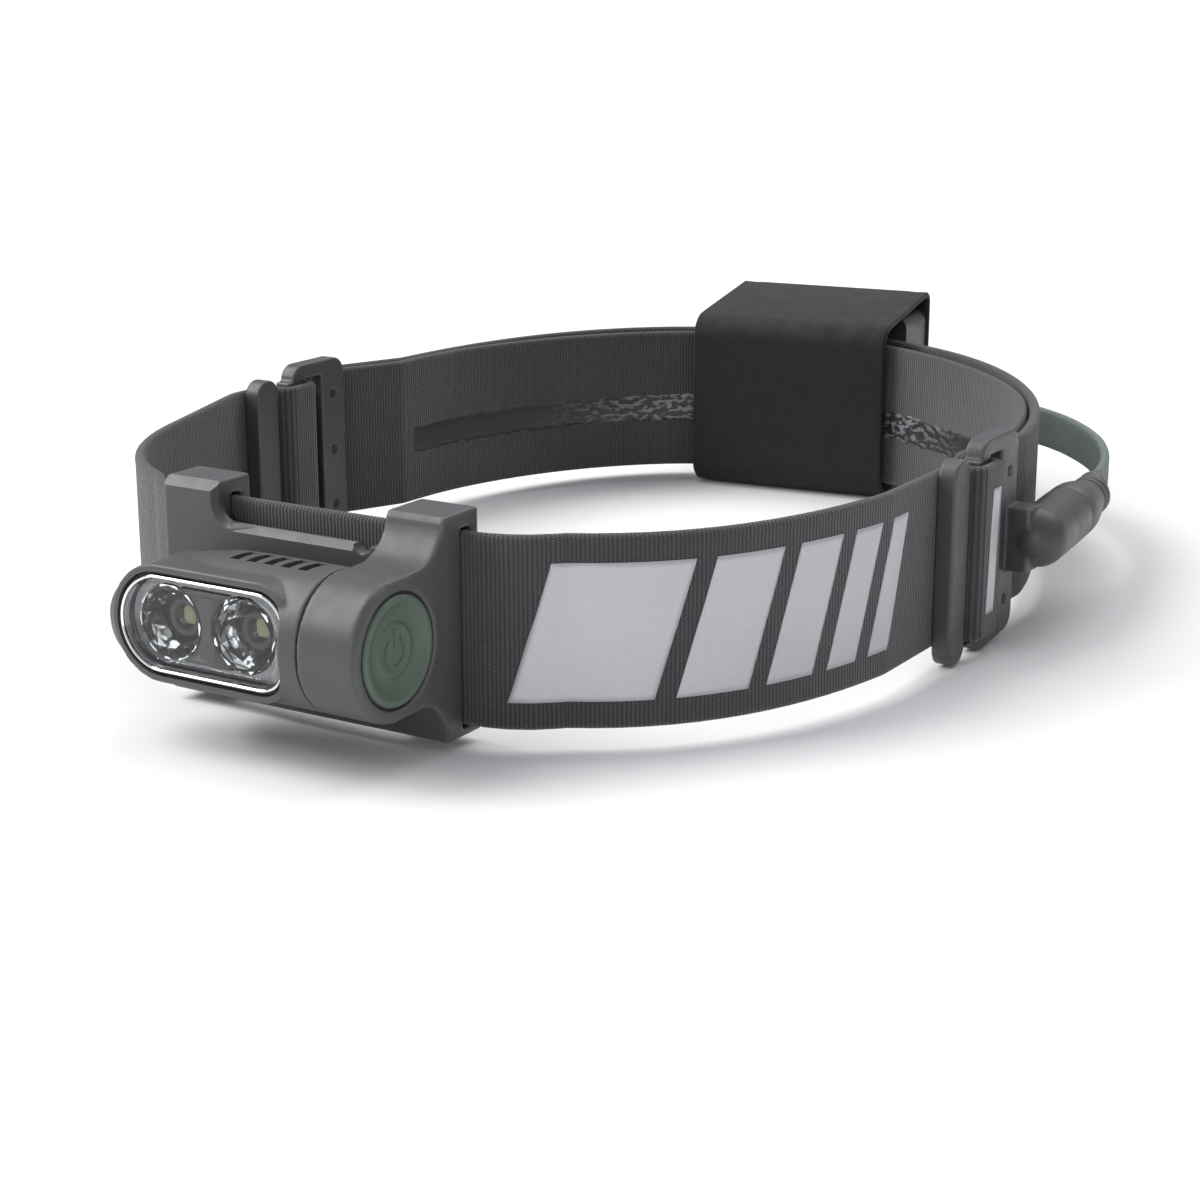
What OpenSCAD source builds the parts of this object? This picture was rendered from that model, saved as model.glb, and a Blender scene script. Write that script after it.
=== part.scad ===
// Running headlamp: tilting lamp head on a bracket, one adjustable webbing strap with two
// sliders, and a rear battery in a soft sleeve, joined by a plugged flat cable.
// Millimetres, +Z up, lamp facing -Y, origin on the resting plane at the head opening's centre.

/* [Head loop] */
// Width of the strap loop, outside to outside
loop_w = 151; // [125:1:182]
// Depth of the strap loop, outside to outside
loop_d = 203; // [168:1:244]
// Squareness of the loop's front half
front_square = 2.9; // [2.2:0.1:3.4]
// Squareness of the loop's rear left quarter
rear_left_square = 2.6; // [2.2:0.1:3.2]
// Squareness of the loop's rear right quarter
rear_right_square = 1.8; // [1.7:0.1:2.6]

/* [Strap] */
// Height of the webbing
strap_w = 32; // [26:0.5:39]
// Thickness of the webbing
strap_t = 2; // [1.6:0.1:2.4]
// Height of the strap's lower edge over the resting plane
strap_lift = 3.2; // [2.7:0.1:4]
// Widest gap between the two rear layers, at the sleeve
layer_spread = 4.5; // [3:0.1:5.4]

/* [Bracket] */
// Bracket's left edge from the loop's centre line
bracket_left = 29.6; // [27:0.1:33]
// Bracket's right edge, which is also the button's face
bracket_right = 27.4; // [26:0.1:32]
// Width of each strap loop on the bracket
wing_w = 11; // [9:0.1:12.5]
// Height of the loops above the strap
wing_rise = 3.1; // [2.4:0.1:4]
// Thickness of the bracket's front wall
plate_t = 2.2; // [1.8:0.1:2.8]

/* [Lamp head] */
// Radius of the round barrel
barrel_r = 11.4; // [10.6:0.1:13.4]
// Length of the fixed boss at the switch end
boss_len = 10.8; // [10:0.1:13]
// Length of the rounded left end
dome_len = 22; // [18:0.5:26]
// Wall of the head's shell
shell_t = 1.4; // [1.2:0.1:1.7]
// Width of the lens
lens_w = 32.8; // [30:0.1:34]
// Height of the lens
lens_h = 15.2; // [14:0.1:16]
// Radius of the round reflectors
reflector_r = 6.3; // [5.4:0.1:6.4]

/* [Switch] */
// Radius of the button
button_r = 8.8; // [7.4:0.1:9.1]
// Travel of the button
button_travel = 0.8; // [0.6:0.1:1]

/* [Sliders] */
// Length of a slider along the strap
slider_len = 28.5; // [27.5:0.1:34]
// Height of a slider above the strap's upper edge
slider_over = 3.6; // [3:0.1:6]
// Thickness of a slider
slider_t = 3.6; // [3:0.1:4.3]
// Right slider's centre along the strap
slider_right_y = -10; // [-12:0.5:-6]
// Left slider's centre along the strap
slider_left_y = -14; // [-16:0.5:-10]

/* [Battery] */
// Width of the battery sleeve
sleeve_w = 46.5; // [44:0.1:54]
// Depth of the battery sleeve
sleeve_d = 34; // [32.5:0.1:40]
// Height of the sleeve's front wall above the strap's upper edge
sleeve_over = 4.8; // [4.2:0.1:9]
// Thickness of the sleeve's fabric
sleeve_t = 1.3; // [1:0.1:1.6]
// Turn of the sleeve on the loop, in degrees
sleeve_yaw = 6.5; // [0:0.5:9]

/* [Cable] */
// Width of the flat woven cable
cable_w = 8.5; // [7:0.1:10]
// Thickness of the flat woven cable
cable_t = 2; // [1.6:0.1:2.4]

/* [Hidden] */

eps = 0.01;
smooth = 96;
gap = 0.3;
run_fit = 0.05;

half_w = loop_w / 2;
half_d = loop_d / 2;
strap_top = strap_lift + strap_w;
strap_mid = strap_lift + strap_w / 2;

// Bracket and lamp axis
strap_front_y = -half_d;
bar_gap = 0.4;
plate_back_y = strap_front_y - bar_gap;
wing_bar_t = plate_t + 1.9;
plate_front_y = plate_back_y - wing_bar_t;
rear_bar_t = 2.2;
wing_rear_y = strap_front_y + strap_t + bar_gap + rear_bar_t;
wing_foot = 1.2;
wing_bottom = strap_lift - bar_gap - wing_foot;
wing_top = strap_top + wing_rise;
plate_top = strap_top - 3.4;
barrel_clear = 1.1;
axis_y = plate_front_y - barrel_clear - barrel_r;
axis_z = strap_mid + 0.9;
boss_left = bracket_right - boss_len;
seam = 0.3;
head_right = boss_left - seam;
head_left = -27.4;
head_len = head_right - head_left;

// Switch, from the boss's end face inwards
button_rim = 0.4;
cap_t = 2.2;
cap_rise = 0.2;
cap_lip = 1.3;
cap_dish = 0.5;
ring_t = 1.0;
switch_depth = 5.2;
switch_floor = bracket_right - switch_depth;
board_t = 0.8;
dome_t = 0.5;
press_spare = 0.48;
dome_gap = 0.12;
dome_r = 2.6;
stem_r = 2.2;

// Pivot: hollow stub of the head in the boss's bore
stub_r = 5.6;
stub_bore_r = 2.6;
stub_end = switch_floor - 0.6;
clip_t = 0.8;
clip_r = 7.2;
clip_pocket_r = 7.7;
clip_x = stub_end - 1.3;
seal_r = 0.45;
seal_x = boss_left + 1.6;

// Lens and what is behind it
lens_x = head_left + 6.4 + lens_w / 2;
lens_z = axis_z + 0.4;
lens_face_y = axis_y - barrel_r + 2.7;
lens_t = 1.2;
bezel_w = 0.9;
vent_x = -2.6;
bezel_t = 1.6;
gasket_t = 0.5;
lens_end_r = 4.6;
reflector_depth = 6.2;
bowl_wall = 0.6;
bowl_throat_r = 2.4;
reflector_back_y = lens_face_y + lens_t + gap + reflector_depth;
led_board_t = 1.0;
spot_x = lens_x - 7.2;
flood_x = lens_x + 7.6;
cavity_r = barrel_r - shell_t;
back_split_y = axis_y + 7.6;
sink_t = 1.4;
led_size = 3;
led_t = 1.15;
board_len = 28.6;
board_h = 10;
sink_len = 26.6;
sink_h = 9.2;
fin_t = 0.9;
fin_pitch = 3.6;
divider_w = 3.2;

// Slider bars, from the front edge backwards
front_bar_w = 6.6;
mid_bar_w = 5;
slot_one_w = strap_t + 1.3;
slot_two_w = strap_t + 3.9;
slider_h = strap_top + slider_over;
slider_mid = half_w - 0.1;
slider_in = slider_mid - slider_t / 2;
slider_out = slider_mid + slider_t / 2;
slot_one_at = front_bar_w + slot_one_w / 2;
slot_two_at = front_bar_w + slot_one_w + mid_bar_w + strap_t / 2 + 0.65;
rear_bar_at = front_bar_w + slot_one_w + mid_bar_w + slot_two_w;
slot_low = strap_lift - 0.5;
slot_high = strap_top + 0.5;
fold_gap = 0.2;
fold_r = strap_t / 2 + 0.5;
rivet_r = 0.9;
arm_w = 6;
arm_h = 12;

// Strap centre lines beside the slider bars, measured from the loop's centre
run_in = slider_in - run_fit - strap_t / 2;
run_out = slider_out + run_fit + strap_t / 2;
fold_in = slider_in - fold_gap - strap_t / 2;
fold_out = slider_out + fold_gap + strap_t / 2;
layer_gap = 0.5;
under_run = run_in - strap_t - gap;
over_run = run_out + strap_t + gap;

// Sleeve and battery, in the sleeve's own turned frame
sleeve_x = -11.2;
sleeve_y = half_d - 16.9;
sleeve_h = strap_top + sleeve_over;
sleeve_rise = 3.7;
sleeve_front_r = 5.5;
sleeve_back_r = 2.5;
pad_t = 1.8;
battery_at = 17.8;
sleeve_clear = 0.5;
battery_t = sleeve_d - sleeve_t - sleeve_clear - battery_at;
battery_w = sleeve_w - 1.2;
battery_low = sleeve_t + sleeve_clear;
battery_high = sleeve_h - 0.3;
case_t = 1.5;
case_r = 3;
gland_y = battery_at + battery_t / 2;
gland_stub = 1.8;
gland_stub_at = 0.1;

// Flat cable, from the plug to the battery: hand-laid centre-line points
cable_z = 18.7;
cable_plan = [
    [78, 42], [77.4, 46.5], [76.4, 51.5], [75, 57], [72.8, 63.4], [70, 70], [66.6, 76.6],
    [62.4, 83], [57.6, 89], [52.2, 94.6], [46.2, 99.4], [39.8, 103.4], [33, 106.8],
    [26, 109.6], [19, 111.8], [14.4, 112.4], [10.4, 112.2]
];
// What the plan was laid for: the right slider's outer rear corner, and the gland's tip
plan_slider = [77.2, 4.25];
plan_gland = [10.4, 112.2];
cable_skin = 0.06;
socket_turn = 5.7;
plug_len = 20;
plug_tail = 7;
plug_tail_r = 4;
plug_grip_len = 6.2;
nose_len = 10.4;
nose_r = 4.1;
nose_bore_r = 2.6;
socket_len = 18;
socket_r = 5.5;
socket_depth = 5;
socket_wall_t = 2.4;
pin_pitch = 3.2;
pin_r = 0.36;
contact_r = 0.58;
plug_seal_r = 0.28;
plug_seal_at = 1.95;

grip_w = 6;
grip_t = 0.4;
feed_w = 4;
feed_t = 0.7;

// ---------- curves ----------

function unit(v) = v / norm(v);

function squareness(a) =
    sin(a) < 0 ? front_square : cos(a) < 0 ? rear_left_square : rear_right_square;

// Point of the loop's outer outline at polar angle a
function loop_edge(a) =
    let (n = squareness(a))
    pow(pow(abs(cos(a)) / half_w, n) + pow(abs(sin(a)) / half_d, n), -1 / n) * [cos(a), sin(a)];

// The same, moved inwards by d along the normal
function loop_point(a, d) =
    let (u = unit(loop_edge(a + 0.5) - loop_edge(a - 0.5)))
    loop_edge(a) + d * [-u[1], u[0]];

function loop_arc(from, to, d, step = 5) =
    let (count = ceil(abs(to - from) / step))
    [for (i = [0:count]) loop_point(from + (to - from) * i / count, d)];

// Spread of the rear layers: full behind the sleeve, none at the sides
function spread(a) =
    let (k = min(1, max(0, (62 - abs(a - 98)) / 40)))
    layer_gap + (layer_spread - layer_gap) * k * k * (3 - 2 * k);

function inner_arc(from, to, step = 5) =
    let (count = ceil(abs(to - from) / step))
    [
        for (i = [0:count])
            let (a = from + (to - from) * i / count)
            loop_point(a, strap_t * 1.5 + spread(a))
    ];

// Corner b of the path a-b-c rounded to radius r
function corner(a, b, c, r) =
    let (u = unit(b - a), w = unit(c - b), turn = acos(max(-1, min(1, u * w))))
    let (side = sign(cross(u, w)), start = b - r * tan(turn / 2) * u)
    let (centre = start + side * r * [-u[1], u[0]], steps = max(2, ceil(turn / 15)))
    [for (i = [0:steps]) centre + spin(start - centre, side * turn * i / steps)];

function spin(v, a) = [v[0] * cos(a) - v[1] * sin(a), v[0] * sin(a) + v[1] * cos(a)];

// Joins smooth runs and corner points [x, y, r] into one centre line
function round_path(points) =
    [
        for (i = [0:len(points) - 1])
            let (p = points[i])
            let (a = points[max(i - 1, 0)], c = points[min(i + 1, len(points) - 1)])
            each len(p) == 2
                ? [p]
                : corner([a[0], a[1]], [p[0], p[1]], [c[0], c[1]], p[2])
    ];

// One side of a centre line, d to its left
function beside(path, d) =
    let (last = len(path) - 1)
    [
        for (i = [0:last])
            let (u = unit(path[max(i, 1)] - path[max(i, 1) - 1]))
            let (w = unit(path[min(i, last - 1) + 1] - path[min(i, last - 1)]))
            let (m = unit(u + w))
            path[i] + [-m[1], m[0]] * d / (m * w)
    ];

function backwards(list) = [for (i = [len(list) - 1:-1:0]) list[i]];

module strip(path, thickness) {
    polygon(concat(beside(path, thickness / 2), backwards(beside(path, -thickness / 2))));
}

// ---------- the cable's centre line ----------

// The plan, its two ends carried along with the right slider and the gland
gland_tip = [sleeve_x, sleeve_y]
    + spin([battery_w / 2 + gland_stub_at + gland_stub + cable_skin, gland_y], sleeve_yaw);
cable_last = len(cable_plan) - 1;
cable_route = [
    for (i = [0:cable_last])
        let (k = i / cable_last)
        cable_plan[i]
            + (1 - k) * ([slider_mid + slider_t / 2, slider_right_y + slider_len / 2] - plan_slider)
            + k * (gland_tip - plan_gland)
];

// ---------- the strap's centre line ----------

slider_right_front = slider_right_y - slider_len / 2;
slider_left_front = slider_left_y - slider_len / 2;
slider_right_rear = slider_right_y + slider_len / 2;
slider_left_rear = slider_left_y + slider_len / 2;
right_one = slider_right_front + slot_one_at;
right_two = slider_right_front + slot_two_at;
left_one = slider_left_front + slot_one_at;
left_two = slider_left_front + slot_two_at;

front_flat = 35;
front_line_y = strap_front_y + strap_t / 2;
front_turn = atan2(0.932 * half_d, front_flat + 7.1);
front_left_arc = loop_arc(220, 180 + front_turn, strap_t / 2);
front_right_arc = loop_arc(360 - front_turn, 330, strap_t / 2);
outer_arc = loop_arc(13, 164, strap_t / 2);
inner_run = inner_arc(13, 167);

// From the right slider's rear bar round the back to the left slider's first slot
rear_outer_path = concat(
    [[run_in, slider_right_front + rear_bar_at + gap], [run_in, slider_right_rear + 2, 9]],
    outer_arc,
    [[-over_run, slider_left_rear + 5, 6], [-over_run, left_two, fold_r]]
);
left_fold = [
    [-fold_in, left_two, fold_r], [-fold_in, left_one, fold_r],
    [-run_out, left_one, fold_r], [-run_out, slider_left_front - 2, 9]
];
right_fold = [
    [run_in, slider_right_front - 2, 9], [run_in, right_one, fold_r],
    [fold_out, right_one, fold_r], [fold_out, right_two, fold_r]
];
rear_inner_path = concat(
    [[under_run, right_two, fold_r], [under_run, slider_right_rear + 2, 9]],
    inner_run,
    [[-run_out, slider_left_rear + 2, 6], [-run_out, slider_left_front + rear_bar_at + gap]]
);
front_path = concat(
    front_left_arc, [[-front_flat, front_line_y, 18], [front_flat, front_line_y, 18]],
    front_right_arc
);
strap_path =
    round_path(concat(rear_outer_path, left_fold, front_path, right_fold, rear_inner_path));

// The lead's stretch of the strap's centre line, from behind the boss to the right slider
feed_path = round_path(concat(
    [[20, front_line_y], [front_flat, front_line_y, 18]], front_right_arc,
    [[run_in, slider_right_front - 2, 9], [run_in, slider_right_front + 4]]
));

// ---------- lamp head ----------

module along_x(x, r, len) {
    translate([x, axis_y, axis_z]) rotate([0, 90, 0]) cylinder(r = r, h = len, $fn = smooth);
}

// Barrel with its domed left end, grown or shrunk by d
module barrel_form(d) {
    dome = dome_len + d;
    radius = barrel_r + d;
    outline = [
        for (a = [0:5:90])
            [radius * cos(90 - a), -dome * cos(a)]
    ];
    translate([head_left + dome_len, axis_y, axis_z]) rotate([0, 90, 0])
        rotate_extrude($fn = smooth)
            polygon(concat(outline, [[radius, head_len - dome_len], [0, head_len - dome_len]]));
}

// Lens outline in the X-Z plane, grown by d: full round on the left, softer on the right
module lens_outline(d) {
    half_h = lens_h / 2 + d;
    left = -lens_w / 2 - d + half_h;
    right = lens_w / 2 - lens_end_r;
    translate([left, 0]) circle(r = half_h, $fn = smooth);
    translate([left, -half_h]) square([right - left, 2 * half_h]);
    for (side = [-1, 1])
        translate([right, side * (lens_h / 2 - lens_end_r)]) circle(r = lens_end_r + d, $fn = 64);
    translate([right, -lens_h / 2 + lens_end_r])
        square([lens_end_r + d, lens_h - 2 * lens_end_r]);
}

// Lens-shaped prism from y backwards by depth
module lens_prism(y, depth, d) {
    translate([lens_x, y + depth, lens_z]) rotate([90, 0, 0])
        linear_extrude(height = depth) lens_outline(d);
}

module head_shell() {
    color("dimgray") difference() {
        union() {
            difference() {
                barrel_form(0);
                barrel_hollow();
            }
            along_x(head_right - eps, stub_r, stub_end - head_right + eps);
            at_head_screws(back_split_y) cylinder(r = 1.9, h = 6, $fn = 32);
        }
        head_front_cut();
        along_x(head_right - shell_t - 1, stub_bore_r, stub_end - head_right + shell_t + 2);
        translate([head_left - 1, back_split_y, axis_z - barrel_r - 1])
            cube([head_len + 0.9, barrel_r, 2 * barrel_r + 2]);
        vents();
        clip_groove();
        seal_groove();
        at_head_screws(back_split_y + 1) cylinder(r = 0.85, h = 6, $fn = 32);
    }
}

module barrel_hollow() {
    intersection() {
        barrel_form(-shell_t);
        translate([head_left, axis_y - barrel_r, axis_z - barrel_r])
            cube([head_len - shell_t, 2 * barrel_r, 2 * barrel_r]);
    }
}

module head_front_cut() {
    lens_prism(lens_face_y - 6, 6, bezel_w + gap + 8);
    lens_prism(lens_face_y - 1, barrel_r, bezel_w);
}

module vents() {
    count = 5;
    pitch = 3.35;
    for (i = [0:count - 1])
        translate([vent_x + i * pitch, axis_y - 2.4, axis_z + barrel_r - 3])
            cube([1.5, 3.4, 5]);
}

module clip_groove() {
    difference() {
        along_x(clip_x, stub_r + 1, clip_t);
        along_x(clip_x - 1, stub_r - 0.6, clip_t + 2);
    }
}

module seal_groove() {
    difference() {
        along_x(seal_x - 0.7, stub_r + 1, 1.4);
        along_x(seal_x - 1, stub_r + run_fit - 2 * seal_r - 0.06, 2);
    }
}

screw_x = [head_left + 18.5, head_right - 4];
screw_rise = sqrt(pow(cavity_r, 2) - pow(back_split_y - axis_y, 2)) - 1.3;
screw_seat_y = axis_y + sqrt(pow(cavity_r, 2) - pow(screw_rise, 2)) + 0.55;

// Places children at each head screw, at depth y, pointing to the front
module at_head_screws(y) {
    for (x = screw_x)
        translate([x, y, axis_z + screw_rise]) rotate([90, 0, 0]) children();
}

module head_back() {
    color("dimgray") difference() {
        intersection() {
            difference() {
                barrel_form(0);
                barrel_form(-shell_t);
            }
            translate([head_left - 1, back_split_y + 0.02, axis_z - barrel_r - 1])
                cube([head_len + 0.9, barrel_r, 2 * barrel_r + 2]);
        }
        at_head_screws(axis_y + barrel_r) cylinder(r = 0.9, h = barrel_r, $fn = 32);
        at_head_screws(axis_y + barrel_r + 1)
            cylinder(r = 1.8, h = axis_y + barrel_r + 1 - screw_seat_y, $fn = 32);
    }
}

module head_screws() {
    head_h = 0.7;
    color("silver") {
        at_head_screws(screw_seat_y + 0.02 + head_h) cylinder(r = 1.7, h = head_h, $fn = 32);
        at_head_screws(screw_seat_y + 0.1)
            cylinder(r = 0.8, h = screw_seat_y - back_split_y + 4.4, $fn = 32);
    }
}

module lens() {
    color("whitesmoke") lens_prism(lens_face_y, lens_t, -gap / 3);
}

module lens_bezel() {
    color("gainsboro") difference() {
        lens_prism(lens_face_y - 0.3, bezel_t, bezel_w - 0.05);
        lens_prism(lens_face_y - 1, bezel_t + 2, 0);
    }
}

module lens_gasket() {
    color("black") difference() {
        lens_prism(lens_face_y + bezel_t - 0.28, gasket_t, bezel_w - 0.05);
        lens_prism(lens_face_y, bezel_t + 3, -0.3);
    }
}

// Bowl reflector with a parabola-like wall, open to the front and at the LED
module bowl(x) {
    steps = 8;
    flare = reflector_r - bowl_wall - bowl_throat_r;
    inner = [
        for (i = [0:steps])
            [bowl_throat_r + flare * sqrt(i / steps), reflector_depth * i / steps]
    ];
    outer = [for (i = [steps:-1:0]) inner[i] + [bowl_wall, 0]];
    translate([x, reflector_back_y, lens_z]) rotate([90, 0, 0])
        rotate_extrude($fn = 64) polygon(concat(inner, outer));
}

module spot_reflector() {
    color("silver") bowl(spot_x);
}

module flood_reflector() {
    color("silver") bowl(flood_x);
}

module divider() {
    color("black") difference() {
        translate([lens_x - 1.4, lens_face_y + lens_t + gap, lens_z - board_h / 2])
            cube([divider_w, reflector_depth - 0.2, board_h]);
        for (x = [spot_x, flood_x])
            translate([x, reflector_back_y + 1, lens_z]) rotate([90, 0, 0])
                cylinder(r = reflector_r + 0.25, h = reflector_depth + 3, $fn = 64);
    }
}

module led_board() {
    color("white")
        translate([lens_x - 14, reflector_back_y + gap / 3, lens_z - board_h / 2])
            cube([board_len, led_board_t, board_h]);
}

module led(x) {
    translate([x - led_size / 2, reflector_back_y - led_t + run_fit, lens_z - led_size / 2])
        cube([led_size, led_t, led_size]);
}

module spot_led() {
    color("khaki") led(spot_x);
}

module flood_led() {
    color("khaki") led(flood_x);
}

module heat_sink() {
    base_y = reflector_back_y + gap / 3 + led_board_t + run_fit;
    color("silver") translate([lens_x - 13, base_y, lens_z - sink_h / 2]) {
        cube([sink_len, sink_t, sink_h]);
        for (i = [0:6])
            translate([i * fin_pitch + 1.6, sink_t - eps, 0.6]) cube([fin_t, 2.4, 6]);
    }
}

module pivot_seal() {
    color("black") translate([seal_x, axis_y, axis_z]) rotate([0, 90, 0])
        rotate_extrude($fn = smooth)
            translate([stub_r + run_fit - seal_r - 0.03, 0]) circle(r = seal_r, $fn = 24);
}

module pivot_clip() {
    color("silver") difference() {
        along_x(clip_x + 0.1, clip_r, clip_t - 0.2);
        along_x(clip_x - 1, stub_r - 0.5, clip_t + 2);
        translate([clip_x - 1, axis_y - 1.5, axis_z - clip_r - 1]) cube([clip_t + 2, 3, clip_r]);
    }
}

// Thin ratchet ring between the head and the boss
module detent_ring() {
    color("darkgray") difference() {
        along_x(boss_left + 0.1, 8.6, 0.6);
        along_x(boss_left - 1, 7, 3);
        for (a = [0:20:340])
            translate([boss_left - 1, axis_y, axis_z]) rotate([a, 0, 0])
                translate([0, 0, 8.6]) rotate([0, 90, 0]) cylinder(r = 0.5, h = 3, $fn = 24);
    }
}

module inner_wire() {
    color("red") along_x(flood_x + 7.4, 0.9, switch_floor - flood_x - 7.4 - 0.3);
}

// ---------- bracket ----------

module fillet_square(r) {
    difference() {
        square([r, r]);
        translate([r, r]) circle(r = r, $fn = 64);
    }
}

// Boss section in the Y-Z plane, drawn with +x for +Y and +y for +Z
module boss_section() {
    reach = plate_front_y - axis_y;
    fillet = 3.4;
    circle(r = barrel_r, $fn = smooth);
    translate([0, -barrel_r + 0.5]) square([reach + eps, 2 * barrel_r - 1]);
    translate([reach, barrel_r - 0.5]) mirror([1, 0]) translate([-eps, -eps]) fillet_square(fillet);
    translate([reach, -barrel_r + 0.5]) mirror([1, 0]) mirror([0, 1])
        translate([-eps, -eps]) fillet_square(fillet);
}

module section_along_x(x, len) {
    translate([x, axis_y, axis_z]) rotate([90, 0, 90]) linear_extrude(height = len) children();
}

module wing(x) {
    difference() {
        translate([x, plate_front_y, wing_bottom])
            cube([wing_w, wing_rear_y - plate_front_y, wing_top - wing_bottom]);
        translate([x - 1, plate_back_y, strap_lift - bar_gap])
            cube([wing_w + 2, strap_t + 2 * bar_gap, strap_w + 2 * bar_gap]);
    }
}

module bracket() {
    color("dimgray") difference() {
        union() {
            translate([-bracket_left, plate_front_y, wing_bottom])
                cube([bracket_left + bracket_right, plate_t, plate_top - wing_bottom]);
            wing(-bracket_left);
            wing(bracket_right - wing_w);
            section_along_x(boss_left, boss_len - 0.8) boss_section();
            along_x(bracket_right - 0.8 - eps, barrel_r - 0.6, 0.8 + eps);
        }
        along_x(switch_floor, button_r + button_rim, switch_depth + 1);
        along_x(boss_left - 1, stub_r + run_fit, boss_len);
        along_x(clip_x - 0.3, clip_pocket_r, switch_floor - clip_x + 1);
        along_x(boss_left - 0.1, 8.8, 0.8);
    }
}

module button_ring() {
    color("black") difference() {
        along_x(switch_floor + board_t + 0.1, button_r + button_rim - run_fit, ring_t);
        along_x(switch_floor, button_r - 1.4, switch_depth);
    }
}

module button_cap() {
    face = bracket_right + cap_rise;
    stem_x = switch_floor + board_t + dome_gap + dome_t + button_travel + press_spare;
    color("darkseagreen") difference() {
        union() {
            along_x(face - cap_t, button_r, cap_t);
            along_x(stem_x, stem_r, face - cap_t - stem_x + eps);
        }
        along_x(face - cap_dish, button_r - cap_lip, cap_dish + 1);
    }
}

module dome_switch() {
    color("silver") along_x(switch_floor + board_t + dome_gap, dome_r, dome_t);
}

module switch_board() {
    color("darkgreen") along_x(switch_floor + 0.02, button_r - 0.2, board_t);
}

// ---------- strap ----------

// Holes for the three rivets at each end of the strap
module strap_rivet_holes() {
    for (z = rivet_z) {
        translate([slider_in - strap_t - run_fit - 0.1, slider_right_front + rivet_y, z])
            rotate([0, 90, 0]) cylinder(r = rivet_r + run_fit, h = strap_t + 0.2, $fn = 32);
        translate([-slider_out - strap_t - run_fit - 0.1, slider_left_front + rivet_y, z])
            rotate([0, 90, 0]) cylinder(r = rivet_r + run_fit, h = strap_t + 0.2, $fn = 32);
    }
}

module strap() {
    groove_t = feed_t + 0.15;
    color("slategray") difference() {
        translate([0, 0, strap_lift]) linear_extrude(height = strap_w) strip(strap_path, strap_t);
        translate([0, 0, strap_mid - feed_w / 2 - 0.15]) linear_extrude(height = feed_w + 0.3)
            strip(beside(feed_path, strap_t / 2 - groove_t / 2 + 0.2), groove_t + 0.4);
        strap_rivet_holes();
    }
}

module feed_wire() {
    color("black") translate([0, 0, strap_mid - feed_w / 2]) linear_extrude(height = feed_w)
        strip(beside(feed_path, strap_t / 2 - feed_t / 2 - 0.03), feed_t);
}

// Silicone stripe on the inner face of the rear layer
module grip_strip() {
    run = [for (i = [3:27]) inner_run[i]];
    color("gray") translate([0, 0, strap_mid - grip_w / 2 - 2]) linear_extrude(height = grip_w)
        strip(beside(run, strap_t / 2 + grip_t / 2 + 0.02), grip_t);
}

// ---------- sliders ----------

// Slider outline in the Y-Z plane from its front lower corner: low front lobe, tall rear lobe
module slider_outline() {
    lobe = 3.4;
    waist = 11.5;
    front_drop = 1.6;
    waist_drop = 2.4;
    hull() {
        translate([lobe, lobe]) circle(r = lobe, $fn = 48);
        translate([lobe, slider_h - lobe - front_drop]) circle(r = lobe, $fn = 48);
        translate([front_bar_w - 1, lobe]) circle(r = 1, $fn = 32);
        translate([front_bar_w - 1, slider_h - lobe - front_drop]) circle(r = 1, $fn = 32);
    }
    translate([front_bar_w - 2, waist_drop])
        square([slider_len - front_bar_w - 4, slider_h - 2 * waist_drop - 0.8]);
    hull() {
        translate([waist + lobe, lobe]) circle(r = lobe, $fn = 48);
        translate([slider_len - lobe, lobe + 1]) circle(r = lobe, $fn = 48);
        translate([waist + lobe, slider_h - lobe]) circle(r = lobe, $fn = 48);
        translate([slider_len - lobe, slider_h - lobe]) circle(r = lobe, $fn = 48);
    }
}

module slider_slots() {
    slot_h = slot_high - slot_low;
    translate([front_bar_w, slot_low]) square([slot_one_w, slot_h]);
    translate([front_bar_w + slot_one_w + mid_bar_w, slot_low]) square([slot_two_w, slot_h]);
}

rivet_z = [strap_mid - 12, strap_mid, strap_mid + 12];
rivet_y = rear_bar_at + (slider_len - rear_bar_at) / 2;

module slider_plate() {
    linear_extrude(height = slider_t) difference() {
        slider_outline();
        slider_slots();
        for (z = rivet_z) translate([rivet_y, z]) circle(r = rivet_r, $fn = 32);
    }
}

// Stands a Y-Z drawing up with its thickness along +X
module stand_up(x, y) {
    translate([x, y, 0]) rotate([90, 0, 90]) children();
}

module slider_left() {
    color("dimgray") stand_up(-slider_out, slider_left_front) slider_plate();
}

module slider_right() {
    color("dimgray") {
        stand_up(slider_in, slider_right_front) slider_plate();
        difference() {
            union() {
                plug_frame(plug_len + socket_len) cylinder(r = socket_r, h = socket_len, $fn = 64);
                plug_frame(plug_len + socket_len) sphere(r = socket_r, $fn = 64);
                translate([slider_out - eps, slider_right_rear - arm_w + 1, cable_z - arm_h / 2])
                    cube([socket_r - 1, arm_w, arm_h]);
            }
            plug_frame(plug_len + socket_depth + 8)
                cylinder(r = nose_r, h = socket_len, $fn = 64);
            translate([slider_in, slider_right_rear - 20, 0]) cube([slider_t - eps, 20, slider_h]);
        }
    }
}

// Rivets through the rear bar and the end of the strap
module rivets(x, y, side) {
    len = slider_t + strap_t;
    for (z = rivet_z)
        stand_up(x, y) translate([rivet_y, z, side > 0 ? -strap_t - run_fit : 0])
            cylinder(r = rivet_r, h = len, $fn = 32);
}

module rivets_left() {
    color("black") rivets(-slider_out - strap_t - run_fit, slider_left_front, -1);
}

module rivets_right() {
    color("black") rivets(slider_in, slider_right_front, 1);
}

// ---------- socket, plug and cable ----------

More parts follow.
